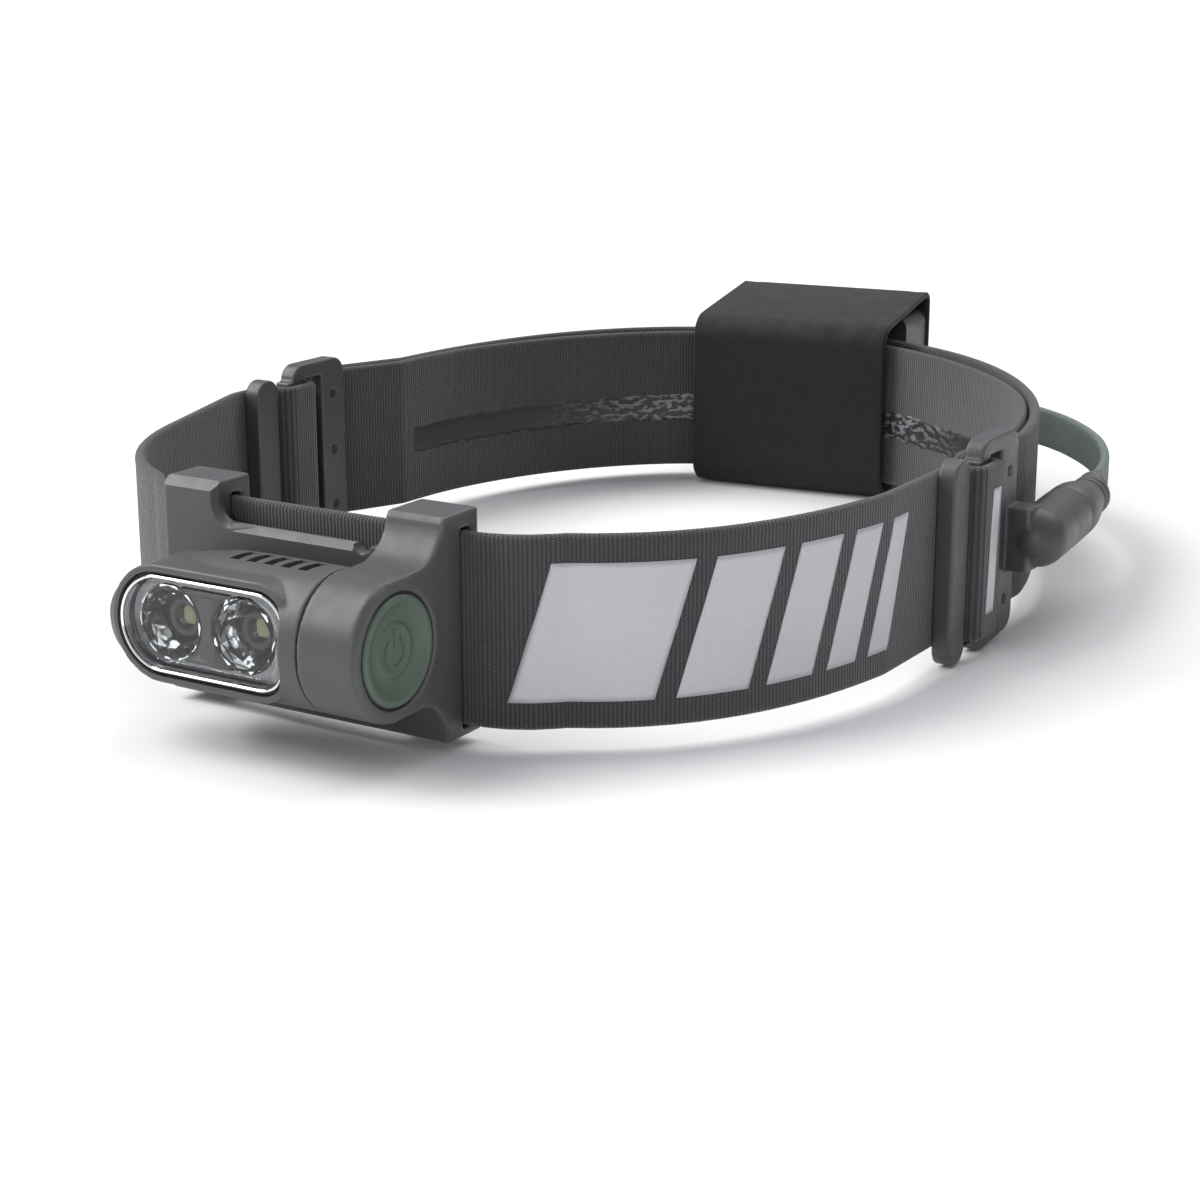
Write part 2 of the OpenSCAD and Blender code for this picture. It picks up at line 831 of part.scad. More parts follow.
// Frame of the plug: +Z of the children runs from the socket to the cable
module plug_frame(back) {
    along = [-sin(socket_turn), cos(socket_turn)];
    at = cable_route[0] - back * along;
    translate([at[0], at[1], cable_z]) rotate([0, 0, socket_turn]) rotate([-90, 0, 0]) children();
}

module socket_insert() {
    color("black") plug_frame(plug_len + socket_depth + 8 - run_fit) difference() {
        cylinder(r = nose_r - 0.1, h = socket_wall_t, $fn = 64);
        for (side = [-1, 1])
            translate([side * pin_pitch / 2, 0, -1])
                cylinder(r = contact_r + 0.02, h = socket_wall_t + 2, $fn = 24);
    }
}

module socket_contacts() {
    color("gold") plug_frame(plug_len + socket_depth + 8)
        for (side = [-1, 1]) translate([side * pin_pitch / 2, 0, 0.2]) difference() {
            cylinder(r = contact_r, h = 8, $fn = 24);
            translate([0, 0, 2]) cylinder(r = pin_r + 0.04, h = 7, $fn = 24);
        }
}

// Cutter of a groove round the plug, down to radius r
module ring_cut(r, len) {
    difference() {
        cylinder(r = socket_r - 0.5, h = len, $fn = 64);
        cylinder(r = r, h = len, $fn = 64);
    }
}

module plug_body() {
    taper_at = seam + plug_grip_len;
    taper_len = plug_len - plug_tail - taper_at;
    groove_deep = 0.6;
    color("dimgray") plug_frame(plug_len) difference() {
        union() {
            translate([0, 0, seam]) cylinder(r = socket_r, h = plug_grip_len, $fn = 64);
            translate([0, 0, taper_at - eps])
                cylinder(r1 = socket_r, r2 = plug_tail_r, h = taper_len + 2 * eps, $fn = 64);
            translate([0, 0, plug_len - plug_tail])
                cylinder(r = plug_tail_r, h = plug_tail - cable_skin, $fn = 64);
            translate([0, 0, -nose_len])
                cylinder(r = nose_r - run_fit, h = nose_len + seam + eps, $fn = 64);
        }
        translate([0, 0, -nose_len - 1]) cylinder(r = nose_bore_r, h = 8, $fn = 64);
        translate([0, 0, -plug_seal_at - 0.65]) ring_cut(3.45, 1.3);
        for (z = [plug_len - 5.2, plug_len - 3])
            translate([0, 0, z]) ring_cut(plug_tail_r - groove_deep, 0.8);
    }
}

module plug_pins() {
    color("gold") plug_frame(plug_len + 9)
        for (side = [-1, 1])
            translate([side * pin_pitch / 2, 0, 0]) cylinder(r = pin_r, h = 5.55, $fn = 24);
}

module plug_seal() {
    color("black") plug_frame(plug_len + plug_seal_at) rotate_extrude($fn = 64)
        translate([nose_r - run_fit - plug_seal_r + 0.01, 0])
            circle(r = plug_seal_r, $fn = 24);
}

// Flat cable: eight-sided rounded section swept along the route
module cable() {
    n = len(cable_route);
    section = [for (s = [-1, 1]) each [
        [s * cable_t / 2, s * (cable_w / 2 - 0.6)], [s * 0.5, s * cable_w / 2],
        [-s * 0.5, s * cable_w / 2], [-s * cable_t / 2, s * (cable_w / 2 - 0.6)]
    ]];
    points = [
        for (i = [0:n - 1])
            let (u = unit(cable_route[min(i + 1, n - 1)] - cable_route[max(i - 1, 0)]))
            for (p = section)
                [
                    cable_route[i][0] + p[0] * u[1],
                    cable_route[i][1] - p[0] * u[0],
                    cable_z + p[1]
                ]
    ];
    sides = [
        for (i = [0:n - 2], j = [0:7])
            [i * 8 + j, i * 8 + (j + 1) % 8, (i + 1) * 8 + (j + 1) % 8, (i + 1) * 8 + j]
    ];
    ends = [[7, 6, 5, 4, 3, 2, 1, 0], [for (j = [0:7]) (n - 1) * 8 + j]];
    color("darkseagreen") polyhedron(points, concat(ends, sides));
}

// ---------- sleeve and battery ----------

module sleeve_frame() {
    translate([sleeve_x, sleeve_y, 0]) rotate([0, 0, sleeve_yaw]) children();
}

// Sleeve section, x for depth and y for height, shrunk by d
module sleeve_section(d) {
    front = sleeve_front_r - d;
    back = sleeve_back_r - d;
    hull() {
        translate([sleeve_front_r, sleeve_front_r]) circle(r = front, $fn = 32);
        translate([sleeve_front_r, sleeve_h - sleeve_front_r]) circle(r = front, $fn = 32);
        translate([sleeve_d - sleeve_back_r, sleeve_back_r]) circle(r = back, $fn = 32);
        translate([sleeve_d - sleeve_back_r, sleeve_h + sleeve_rise - sleeve_back_r])
            circle(r = back, $fn = 32);
    }
}

module sleeve() {
    color("black") sleeve_frame() translate([-sleeve_w / 2, 0, 0]) rotate([90, 0, 90])
        linear_extrude(height = sleeve_w) difference() {
            sleeve_section(0);
            sleeve_section(sleeve_t);
        }
}

module rear_pad() {
    color("black") sleeve_frame()
        translate([-sleeve_w / 2 + 1, sleeve_t + 0.05, sleeve_front_r])
            cube([sleeve_w - 2, pad_t, sleeve_h - 2 * sleeve_front_r]);
}

// Upright box with rounded long edges, in the sleeve's frame
module case_block(from, depth, d) {
    w = battery_w - 2 * d;
    h = battery_high - battery_low - 2 * d;
    r = case_r - d;
    translate([0, from + depth, (battery_low + battery_high) / 2]) rotate([90, 0, 0])
        linear_extrude(height = depth) {
            square([w - 2 * r, h], center = true);
            square([w, h - 2 * r], center = true);
            for (sx = [-1, 1], sz = [-1, 1])
                translate([sx * (w / 2 - r), sz * (h / 2 - r)]) circle(r = r, $fn = 48);
        }
}

screw_spots = [for (sx = [-1, 1], sz = [-1, 1]) [sx * (battery_w / 2 - 4.2), sz]];

function screw_height(side) =
    (battery_low + battery_high) / 2 + side * ((battery_high - battery_low) / 2 - 4.2);

module at_case_screws(y) {
    for (s = screw_spots)
        translate([s[0], y, screw_height(s[1])]) rotate([90, 0, 0]) children();
}

module battery_front() {
    depth = battery_t / 2;
    color("dimgray") sleeve_frame() difference() {
        union() {
            difference() {
                case_block(battery_at, depth, 0);
                case_block(battery_at + case_t, depth, case_t);
            }
            at_case_screws(battery_at + depth) cylinder(r = 2.4, h = depth, $fn = 32);
        }
        at_case_screws(battery_at + depth + 1) cylinder(r = 0.9, h = depth, $fn = 32);
        gland_hole(0);
        port_hole(0);
    }
}

module battery_back() {
    depth = battery_t / 2;
    from = battery_at + depth + 0.02;
    color("dimgray") sleeve_frame() difference() {
        union() {
            difference() {
                case_block(from, depth - 0.02, 0);
                case_block(from - case_t, depth - 0.02, case_t);
            }
            at_case_screws(battery_at + 2 * depth) cylinder(r = 2.4, h = depth - 0.02, $fn = 32);
        }
        at_case_screws(battery_at + 2 * depth + 1) cylinder(r = 1.1, h = depth + 2, $fn = 32);
        at_case_screws(battery_at + 2 * depth + 1) cylinder(r = 2, h = 2.4, $fn = 32);
        gland_hole(0);
        port_hole(0);
    }
}

module gland_hole(d) {
    translate([battery_w / 2 - case_t - 1, gland_y, cable_z]) rotate([0, 90, 0])
        linear_extrude(height = case_t + 2) gland_section(0.05 + d);
}

module gland_section(d) {
    square([cable_w + 1 + 2 * d, 3.6 + 2 * d], center = true);
}

port_z = 30;

module port_hole(d) {
    translate([-battery_w / 2 - 1, gland_y - 1.9 - d, port_z - 4.6 - d])
        cube([case_t + 2, 3.8 + 2 * d, 9.2 + 2 * d]);
}

module cable_gland() {
    color("black") sleeve_frame() {
        translate([battery_w / 2 - case_t, gland_y, cable_z]) rotate([0, 90, 0])
            linear_extrude(height = case_t + 0.2) gland_section(0);
        translate([battery_w / 2 + gland_stub_at, gland_y, cable_z]) rotate([0, 90, 0])
            linear_extrude(height = gland_stub) gland_section(-0.2);
    }
}

module port_cover() {
    color("black") sleeve_frame() {
        translate([-battery_w / 2 + 0.4, gland_y - 1.85, port_z - 4.55]) cube([1.6, 3.7, 9.1]);
        translate([-battery_w / 2 - 0.6, gland_y - 3, port_z - 6]) cube([0.55, 6, 12]);
        translate([-battery_w / 2 - 0.2, gland_y - 1.8, port_z - 4.5]) cube([0.7, 3.6, 9]);
    }
}

module battery_cell() {
    cell_w = battery_w - 14;
    cell_t = battery_t - 2 * case_t - 3.4;
    cell_h = battery_high - battery_low - 2 * case_t - 2;
    low = battery_low + case_t + 0.05;
    color("steelblue") sleeve_frame()
        translate([-cell_w / 2, battery_at + case_t + 0.05, low]) cube([cell_w, cell_t, cell_h]);
}

module battery_board() {
    color("darkgreen") sleeve_frame()
        translate([-14, battery_at + battery_t - case_t - 1.3, 8]) cube([28, 1, 24]);
}

module battery_screws() {
    len = battery_t - 4;
    color("silver") sleeve_frame() at_case_screws(battery_at + battery_t - 0.5) {
        cylinder(r = 0.85, h = len, $fn = 32);
        cylinder(r = 1.8, h = 0.85, $fn = 32);
    }
}

bracket();
pivot_clip();
button_cap();
button_ring();
dome_switch();
switch_board();
head_shell();
head_back();
head_screws();
lens();
lens_gasket();
lens_bezel();
spot_reflector();
flood_reflector();
divider();
led_board();
spot_led();
flood_led();
heat_sink();
pivot_seal();
detent_ring();
inner_wire();
strap();
grip_strip();
feed_wire();
slider_left();
slider_right();
rivets_left();
rivets_right();
socket_insert();
socket_contacts();
plug_body();
plug_pins();
plug_seal();
cable();
sleeve();
rear_pad();
battery_front();
battery_back();
battery_cell();
battery_board();
battery_screws();
port_cover();
cable_gland();
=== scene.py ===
"""Looks of the running headlamp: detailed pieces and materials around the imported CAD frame."""

import math

import bmesh
import bpy
import numpy as np
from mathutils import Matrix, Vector


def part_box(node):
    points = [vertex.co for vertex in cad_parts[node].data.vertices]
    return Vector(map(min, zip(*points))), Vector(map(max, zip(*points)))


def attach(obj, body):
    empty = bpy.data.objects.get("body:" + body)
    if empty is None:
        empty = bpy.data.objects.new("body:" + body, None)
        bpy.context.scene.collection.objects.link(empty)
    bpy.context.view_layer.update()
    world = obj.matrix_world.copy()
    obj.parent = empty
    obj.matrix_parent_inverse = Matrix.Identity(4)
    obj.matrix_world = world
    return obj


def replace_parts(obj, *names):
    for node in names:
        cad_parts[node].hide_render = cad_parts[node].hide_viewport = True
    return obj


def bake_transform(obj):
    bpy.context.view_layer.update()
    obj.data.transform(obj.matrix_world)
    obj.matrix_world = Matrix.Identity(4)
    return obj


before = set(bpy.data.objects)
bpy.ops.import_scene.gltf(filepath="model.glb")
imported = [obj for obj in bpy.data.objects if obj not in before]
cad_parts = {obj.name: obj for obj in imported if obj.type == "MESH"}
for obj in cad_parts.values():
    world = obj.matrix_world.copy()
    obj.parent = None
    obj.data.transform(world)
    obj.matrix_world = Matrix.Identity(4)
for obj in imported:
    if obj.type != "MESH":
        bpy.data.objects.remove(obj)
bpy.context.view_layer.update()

MM = 0.001
JOIN_WITHIN, CRUMB = 0.0005, 0.0015     # mm: points that are one, and slivers that go


def box_mm(node):
    """Low and high corner of a CAD node's box, in millimetres."""
    low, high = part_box(node)
    return [v / MM for v in low], [v / MM for v in high]


def linked(name, data):
    """A new object with this data, in the scene."""
    made = bpy.data.objects.new(name, data)
    bpy.context.collection.objects.link(made)
    return made


# ---------------------------------------------------------------- camera, light, floor

CAMERA_PLACE = (0.2310, -0.3926, 0.1240)
CAMERA_DOWN, CAMERA_ROUND = 15.734, 31.5    # degrees below level, and round from the front
LENS_MM, SENSOR_MM = 70.5, 36
WORLD_LIGHT, WORLD_SEEN = 0.48, 1.1         # what lights the lamp, and what the camera sees
FLOOR_HALF, FLOOR_DROP = 16.0, 0.0004


def make_camera():
    data = bpy.data.cameras.new("camera")
    data.lens = LENS_MM
    data.sensor_width = SENSOR_MM
    camera = linked("camera", data)
    camera.location = CAMERA_PLACE
    camera.rotation_euler = (math.radians(90 - CAMERA_DOWN), 0, math.radians(CAMERA_ROUND))
    bpy.context.scene.camera = camera


def light(name, kind, power, aim, place=(0, 0, 0)):
    """A light whose back looks along aim."""
    data = bpy.data.lights.new(name, kind)
    data.energy = power
    made = linked(name, data)
    made.location = place
    made.rotation_euler = Vector(aim).to_track_quat("Z", "Y").to_euler()
    return data


def area_light(name, place, target, size, power):
    data = light(name, "AREA", power, Vector(place) - Vector(target), place)
    data.shape = "RECTANGLE"
    data.size, data.size_y = size


def soft_sun(name, direction, spread_angle, strength):
    light(name, "SUN", strength, direction).angle = math.radians(spread_angle)


def make_studio():
    world = bpy.data.worlds.new("studio")
    world.use_nodes = True
    back = world.node_tree.nodes["Background"]
    back.inputs["Color"].default_value = (0.93, 0.95, 1.0, 1)
    lit_by = world.node_tree.nodes.new("ShaderNodeLightPath")
    level = world.node_tree.nodes.new("ShaderNodeMapRange")
    level.inputs["To Min"].default_value = WORLD_LIGHT
    level.inputs["To Max"].default_value = WORLD_SEEN
    world.node_tree.links.new(lit_by.outputs["Is Camera Ray"], level.inputs["Value"])
    world.node_tree.links.new(level.outputs[0], back.inputs["Strength"])
    bpy.context.scene.world = world
    bpy.context.scene.view_settings.view_transform = "Standard"
    soft_sun("key", (-0.6, -0.15, 0.8), 40, 1.9)
    soft_sun("top", (0.05, 0.5, 0.85), 50, 1.1)
    area_light("left_strip", (-0.6, -0.5, 0.5), (-0.01, -0.12, 0.02), (0.5, 0.12), 3.0)
    area_light("front", (0.35, -1.1, 0.35), (0, -0.1, 0.02), (0.5, 0.35), 1.6)


def make_floor():
    size = FLOOR_HALF
    corners = [(-size, -size, 0), (size, -size, 0), (size, size, 0), (-size, size, 0)]
    mesh = bpy.data.meshes.new("floor")
    mesh.from_pydata(corners, [], [(0, 1, 2, 3)])
    floor = linked("floor", mesh)
    floor.location.z = -FLOOR_DROP
    mat = bpy.data.materials.new("floor_paper")
    mat.use_nodes = True
    shader = mat.node_tree.nodes["Principled BSDF"]
    shader.inputs["Base Color"].default_value = (0.86, 0.86, 0.86, 1)
    shader.inputs["Roughness"].default_value = 0.9
    shader.inputs["Specular IOR Level"].default_value = 0.1
    mesh.materials.append(mat)


make_camera()
make_studio()
make_floor()


# ---------------------------------------------------------------- material building

class Mat:
    """A node material with short calls for the nodes used here."""

    def __init__(self, name, **sockets):
        self.mat = bpy.data.materials.new(name)
        self.mat.use_nodes = True
        self.tree = self.mat.node_tree
        self.shader = self.tree.nodes["Principled BSDF"]
        for key, value in sockets.items():
            self.shader.inputs[key.replace("_", " ")].default_value = value

    def node(self, kind, **inputs):
        made = self.tree.nodes.new("ShaderNode" + kind)
        for key, value in inputs.items():
            self.put(made.inputs[int(key[1:]) if key[0] == "i" and key[1:].isdigit() else key],
                     value)
        return made

    def put(self, socket, value):
        if isinstance(value, bpy.types.NodeSocket):
            self.tree.links.new(value, socket)
        else:
            socket.default_value = value

    def math(self, op, a, b=0.0, clamp=False):
        made = self.node("Math", i0=a, i1=b)
        made.operation = op
        made.use_clamp = clamp
        return made.outputs[0]

    def coords(self):
        return self.node("TexCoord").outputs["Object"]

    def uv(self):
        made = self.node("UVMap")
        made.uv_map = "run"
        parts = self.node("SeparateXYZ", Vector=made.outputs[0])
        return parts.outputs[0], parts.outputs[1], made.outputs[0]

    def cells(self, scale, output=0):
        return self.node("TexVoronoi", Vector=self.coords(), Scale=scale).outputs[output]

    def times(self, a, b):
        return self.math("MULTIPLY", a, b)

    def plus(self, a, b, clamp=False):
        return self.math("ADD", a, b, clamp)

    def noise(self, scale, detail=3.0, vector=None):
        made = self.node("TexNoise", Vector=self.coords() if vector is None else vector,
                         Scale=scale, Detail=detail, Roughness=0.55)
        return made.outputs[0]

    def ramp(self, value, low, high, a, b):
        made = self.node("MapRange", Value=value)
        made.inputs[1].default_value = low
        made.inputs[2].default_value = high
        self.put(made.inputs[3], a)
        self.put(made.inputs[4], b)
        return made.outputs[0]

    def mix(self, factor, a, b):
        made = self.tree.nodes.new("ShaderNodeMix")
        made.data_type = "RGBA"
        self.put(made.inputs[0], factor)
        self.put(made.inputs[6], a if isinstance(a, bpy.types.NodeSocket) else (*a, 1))
        self.put(made.inputs[7], b if isinstance(b, bpy.types.NodeSocket) else (*b, 1))
        return made.outputs[2]

    def colour(self, value):
        self.put(self.shader.inputs["Base Color"], value)

    def rough(self, value):
        self.put(self.shader.inputs["Roughness"], value)

    def bump(self, height, distance, strength=1.0):
        made = self.node("Bump", Height=height, Strength=strength, Distance=distance)
        before = self.shader.inputs["Normal"].links
        if before:
            self.tree.links.new(before[0].from_socket, made.inputs["Normal"])
        self.tree.links.new(made.outputs[0], self.shader.inputs["Normal"])


def plastic(name, colour, light, rough=0.42):
    """Moulded plastic: fine spark-eroded grain, faint tone drift, paler worn edges."""
    m = Mat(name, Roughness=rough)
    drift = m.noise(90, 4)
    tone = m.ramp(drift, 0.3, 0.7, 0.0, 0.35)
    body = m.mix(tone, colour, light)
    edge = m.node("NewGeometry").outputs["Pointiness"]
    worn = m.times(m.ramp(edge, 0.505, 0.56, 0.0, 0.5), m.noise(700, 4))
    m.colour(m.mix(worn, body, tuple(min(1, c * 2.2 + 0.05) for c in light)))
    m.rough(m.ramp(m.noise(260, 3), 0.3, 0.7, rough - 0.05, rough + 0.08))
    m.bump(m.noise(5200, 2), 0.00003)
    return m.mat


def rubber(name, colour, light, rough=0.6):
    m = Mat(name, Roughness=rough)
    m.colour(m.mix(m.noise(160, 3), colour, light))
    m.rough(m.ramp(m.noise(900, 3), 0.3, 0.7, rough - 0.08, rough + 0.08))
    m.bump(m.noise(3800, 2), 0.00002)
    return m.mat


def metal(name, colour, rough, streak=0.1):
    m = Mat(name, Metallic=1.0, Roughness=rough)
    m.colour(m.mix(m.noise(400, 3), colour, tuple(c * 0.82 for c in colour)))
    m.rough(m.ramp(m.noise(1500, 2), 0.3, 0.7, rough, rough + streak))
    return m.mat


def webbing(name, dark, light, rib=0.0007, dash=0.00042):
    """Elastic webbing: ribs across the band, broken into short stitches, from the run's UV."""
    m = Mat(name, Roughness=0.85, Sheen_Weight=0.25, Sheen_Roughness=0.5)
    u, v = m.uv()[:2]
    turn = 2 * math.pi
    column = m.math("FLOOR", m.math("DIVIDE", u, rib))
    across = m.math("COSINE", m.times(u, turn / rib))
    ridge = m.ramp(across, -1.0, 1.0, 1.0, 0.0)
    shift = m.times(column, math.pi)
    along = m.math("COSINE", m.plus(m.times(v, turn / dash), shift))
    knot = m.ramp(along, -0.6, 1.0, 0.45, 1.0)
    thread = m.times(m.math("POWER", ridge, 0.7), knot)
    fuzz = m.noise(2600, 3)
    patch = m.noise(38, 3)
    tone = m.plus(m.times(thread, 0.75), m.times(fuzz, 0.3))
    tone = m.plus(tone, m.ramp(patch, 0.3, 0.7, -0.08, 0.08), clamp=True)
    m.colour(m.mix(tone, dark, light))
    m.rough(m.ramp(fuzz, 0.3, 0.7, 0.78, 0.95))
    m.bump(thread, 0.00022, 0.9)
    m.bump(fuzz, 0.00005, 0.5)
    return m.mat


def glass(name):
    """Clear moulding: see-through, with a Fresnel gloss."""
    m = Mat(name)
    out = m.tree.nodes["Material Output"]
    m.tree.nodes.remove(m.shader)
    clear = m.node("BsdfTransparent", Color=(0.97, 0.98, 0.98, 1))
    gloss = m.node("BsdfGlossy", Color=(1, 1, 1, 1), Roughness=0.03)
    film = m.node("Fresnel", IOR=1.5)
    front = m.math("SUBTRACT", 1.0, m.node("NewGeometry").outputs["Backfacing"])
    film = m.times(film.outputs[0], front)
    blend = m.node("MixShader", i0=film, i1=clear.outputs[0], i2=gloss.outputs[0])
    m.tree.links.new(blend.outputs[0], out.inputs["Surface"])
    return m.mat


def bowl_chrome():
    """Metallised bowl: each small facet takes its own depth of tone, from near black to bright, a
    painted reflection of dark and light surroundings.
    """
    m = Mat("bowl_chrome", Metallic=1.0, Roughness=0.06)
    tone = m.node("SeparateXYZ", Vector=m.cells(620.0, "Color")).outputs[0]
    # painted reflection: facets coloured near black or bright stand in for the dark and light
    # surroundings the chrome mirrors
    m.colour(m.mix(m.ramp(tone, 0.35, 0.6, 0.0, 1.0), (0.05, 0.05, 0.052), (0.95, 0.95, 0.96)))
    return m.mat


def phosphor():
    m = Mat("led_phosphor", Roughness=0.35)
    m.colour(m.mix(m.noise(2500, 3), (0.34, 0.31, 0.15), (0.42, 0.39, 0.22)))
    m.bump(m.noise(4000, 2), 0.00002)
    return m.mat


def circuit():
    m = Mat("circuit_board", Roughness=0.4)
    m.colour(m.mix(m.ramp(m.noise(900, 2), 0.45, 0.55, 0, 1), (0.01, 0.09, 0.03),
                   (0.015, 0.13, 0.05)))
    m.bump(m.noise(1500, 2), 0.00003)
    return m.mat


def sleeve_cloth():
    """Soft stretch fabric over foam: very fine knit, broad soft tone."""
    m = Mat("sleeve_fabric", Roughness=0.8, Sheen_Weight=0.05, Specular_IOR_Level=0.35)
    knit = m.cells(2200.0)
    tone = m.plus(m.times(knit, 0.5), m.times(m.noise(60, 4), 0.5))
    m.colour(m.mix(tone, (0.004, 0.004, 0.0043), (0.0085, 0.0085, 0.009)))
    m.rough(m.ramp(m.noise(300, 3), 0.3, 0.7, 0.6, 0.75))
    m.bump(knit, 0.00006, 0.7)
    return m.mat


def foam():
    m = Mat("pad_foam", Roughness=0.95)
    cell = m.cells(1300.0)
    m.colour(m.mix(cell, (0.01, 0.01, 0.01), (0.03, 0.03, 0.031)))
    m.bump(cell, 0.0002)
    return m.mat


def cable_braid():
    """Flat woven cable jacket: diagonal strands crossing in a fine herringbone."""
    m = Mat("cable_weave", Roughness=0.75)
    u, v = m.uv()[:2]
    turn = 2 * math.pi
    strand = 0.0011
    one = m.math("COSINE", m.times(m.plus(u, v), turn / strand))
    two = m.math("COSINE", m.times(m.math("SUBTRACT", u, v), turn / strand))
    weave = m.ramp(m.math("MAXIMUM", one, two), -0.6, 1.0, 0.0, 1.0)
    fuzz = m.noise(2400, 3)
    tone = m.plus(m.times(weave, 0.7), m.times(fuzz, 0.3))
    m.colour(m.mix(tone, (0.075, 0.094, 0.08), (0.235, 0.285, 0.248)))
    m.rough(m.ramp(fuzz, 0.3, 0.7, 0.65, 0.9))
    m.bump(weave, 0.00016, 0.8)
    m.bump(fuzz, 0.00005, 0.4)
    return m.mat


def silicone():
    """Clear silicone print on the webbing, shiny, worn into specks."""
    m = Mat("grip_silicone", Roughness=0.25)
    place = m.uv()[2]
    speck = m.noise(420, 5, m.node("Mapping", Vector=place, Scale=(1.0, 2.2, 1.0)).outputs[0])
    wash = m.noise(35, 2)
    x = m.node("SeparateXYZ", Vector=m.coords()).outputs[0]
    off = m.math("ABSOLUTE", m.plus(x, 0.012))
    worn = m.ramp(off, 0.03, 0.05, 1.0, 0.0)
    bright = m.times(m.ramp(speck, 0.5, 0.56, 0.0, 1.0),
                    m.times(m.ramp(wash, 0.3, 0.5, 0.5, 1.0), worn))
    m.colour(m.mix(bright, (0.026, 0.026, 0.028), (0.2, 0.2, 0.21)))
    m.rough(m.ramp(speck, 0.4, 0.6, 0.42, 0.5))
    m.bump(m.times(speck, m.ramp(worn, 0, 1, 0.0, 1.0)), 0.0002, 0.5)
    return m.mat


def reflective():
    """Silver reflective print: glass-bead sparkle and a faint cell pattern."""
    m = Mat("reflective_print", Roughness=0.4, Metallic=0.25)
    bead = m.cells(1600.0)
    cloud = m.noise(28, 3)
    tone = m.plus(m.times(bead, 0.25), m.ramp(cloud, 0.3, 0.7, 0.2, 0.8))
    m.colour(m.mix(tone, (0.40, 0.405, 0.42), (0.52, 0.525, 0.54)))
    m.rough(m.ramp(cloud, 0.3, 0.7, 0.3, 0.45))
    m.bump(bead, 0.00004, 0.4)
    return m.mat


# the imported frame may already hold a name, and Blender then adds a number to ours
MATS = {mat.name.split(".")[0]: mat for mat in [
    plastic("grey_plastic", (0.058, 0.058, 0.0605), (0.074, 0.074, 0.077)),
    plastic("slider_plastic", (0.05, 0.05, 0.053), (0.066, 0.066, 0.069), 0.4),
    plastic("black_plastic", (0.012, 0.012, 0.013), (0.02, 0.02, 0.021), 0.45),
    webbing("strap_webbing", (0.013, 0.013, 0.015), (0.085, 0.085, 0.09)),
    rubber("button_rubber", (0.075, 0.105, 0.08), (0.088, 0.122, 0.095), 0.5),
    rubber("black_rubber", (0.008, 0.008, 0.008), (0.014, 0.014, 0.014)),
    rubber("wire_jacket", (0.03, 0.03, 0.03), (0.05, 0.05, 0.05), 0.4),
    metal("bare_metal", (0.72, 0.72, 0.74), 0.28),
    metal("spring_steel", (0.62, 0.63, 0.66), 0.3),
    metal("gold_contact", (0.85, 0.62, 0.25), 0.2),
    metal("bright_trim", (0.93, 0.93, 0.94), 0.06, 0.05),
    metal("dull_trim", (0.2, 0.2, 0.205), 0.14),
    glass("clear_lens"), phosphor(), circuit(), sleeve_cloth(), foam(), cable_braid(),
    silicone(), reflective(), bowl_chrome()]}


# ---------------------------------------------------------------- mesh helpers

def add(name, verts, faces, mat, body="root", smooth=True, uvs=None):
    """A mesh piece from points in millimetres, riding on a body. uvs is one (u, v) per corner."""
    mesh = bpy.data.meshes.new(name)
    mesh.from_pydata([tuple(c * MM for c in p) for p in verts], [], faces)
    mesh.validate()
    piece = linked(name, mesh)
    mesh.materials.append(MATS[mat])
    if uvs is not None:
        layer = mesh.uv_layers.new(name="run")
        layer.data.foreach_set("uv", np.array(uvs, np.float32).ravel())
    if smooth:
        mesh.polygons.foreach_set("use_smooth", [True] * len(mesh.polygons))
    if body:
        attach(piece, body)
    return piece


def settled(piece, body, node=None):
    """The finished piece on its body, in place of its CAD node."""
    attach(piece, body)
    if node:
        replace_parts(piece, node)
    return piece


def applied(piece):
    """The piece with its modifiers applied to its mesh."""
    graph = bpy.context.evaluated_depsgraph_get()
    mesh = bpy.data.meshes.new_from_object(piece.evaluated_get(graph))
    old = piece.data
    piece.modifiers.clear()
    piece.data = mesh
    bpy.data.meshes.remove(old)
    return piece


def softened(piece, rounds):
    soft = piece.modifiers.new("soft", "SMOOTH")
    soft.iterations = rounds
    soft.factor = 0.5
    return applied(piece)


def moulded(piece, voxel, rounds):
    """Fuses overlapping closed shapes and rounds their edges, as a moulding has them."""
    remesh = piece.modifiers.new("fuse", "REMESH")
    remesh.mode = "VOXEL"
    remesh.voxel_size = voxel * MM
    remesh.use_smooth_shade = True
    return softened(piece, rounds)


def cut(piece, cutter):
    """The piece less a throwaway cutter."""
    work = piece.modifiers.new("cut", "BOOLEAN")
    work.operation = "DIFFERENCE"
    work.object = cutter
    work.solver = "EXACT"
    applied(piece)
    bpy.data.objects.remove(cutter)
    return piece


def shade(piece, angle=35):
    """Smooth shading that keeps edges sharper than the angle."""
    piece.data.polygons.foreach_set("use_smooth", [True] * len(piece.data.polygons))
    piece.data.set_sharp_from_angle(angle=math.radians(angle))
    return piece


def outward(piece, join_within=0):
    """Faces turned to look outwards, once points closer than join_within are one."""
    work = bmesh.new()
    work.from_mesh(piece.data)
    if join_within:
        bmesh.ops.remove_doubles(work, verts=work.verts, dist=join_within * MM)
    bmesh.ops.recalc_face_normals(work, faces=work.faces)
    work.to_mesh(piece.data)
    work.free()
    return piece


def bands(rings, count, closed=False, base=0):
    """Quads between successive rings of count points; closed joins the last to the first."""
    return [(base + i * count + k, base + i * count + (k + 1) % count,
             base + (i + 1) % rings * count + (k + 1) % count,
             base + (i + 1) % rings * count + k)
            for i in range(rings if closed else rings - 1) for k in range(count)]


def caps(rings, count, base=0):
    """The faces that close the first and the last ring."""
    return [tuple(range(base, base + count))[::-1],
            tuple(range(base + (rings - 1) * count, base + rings * count))]


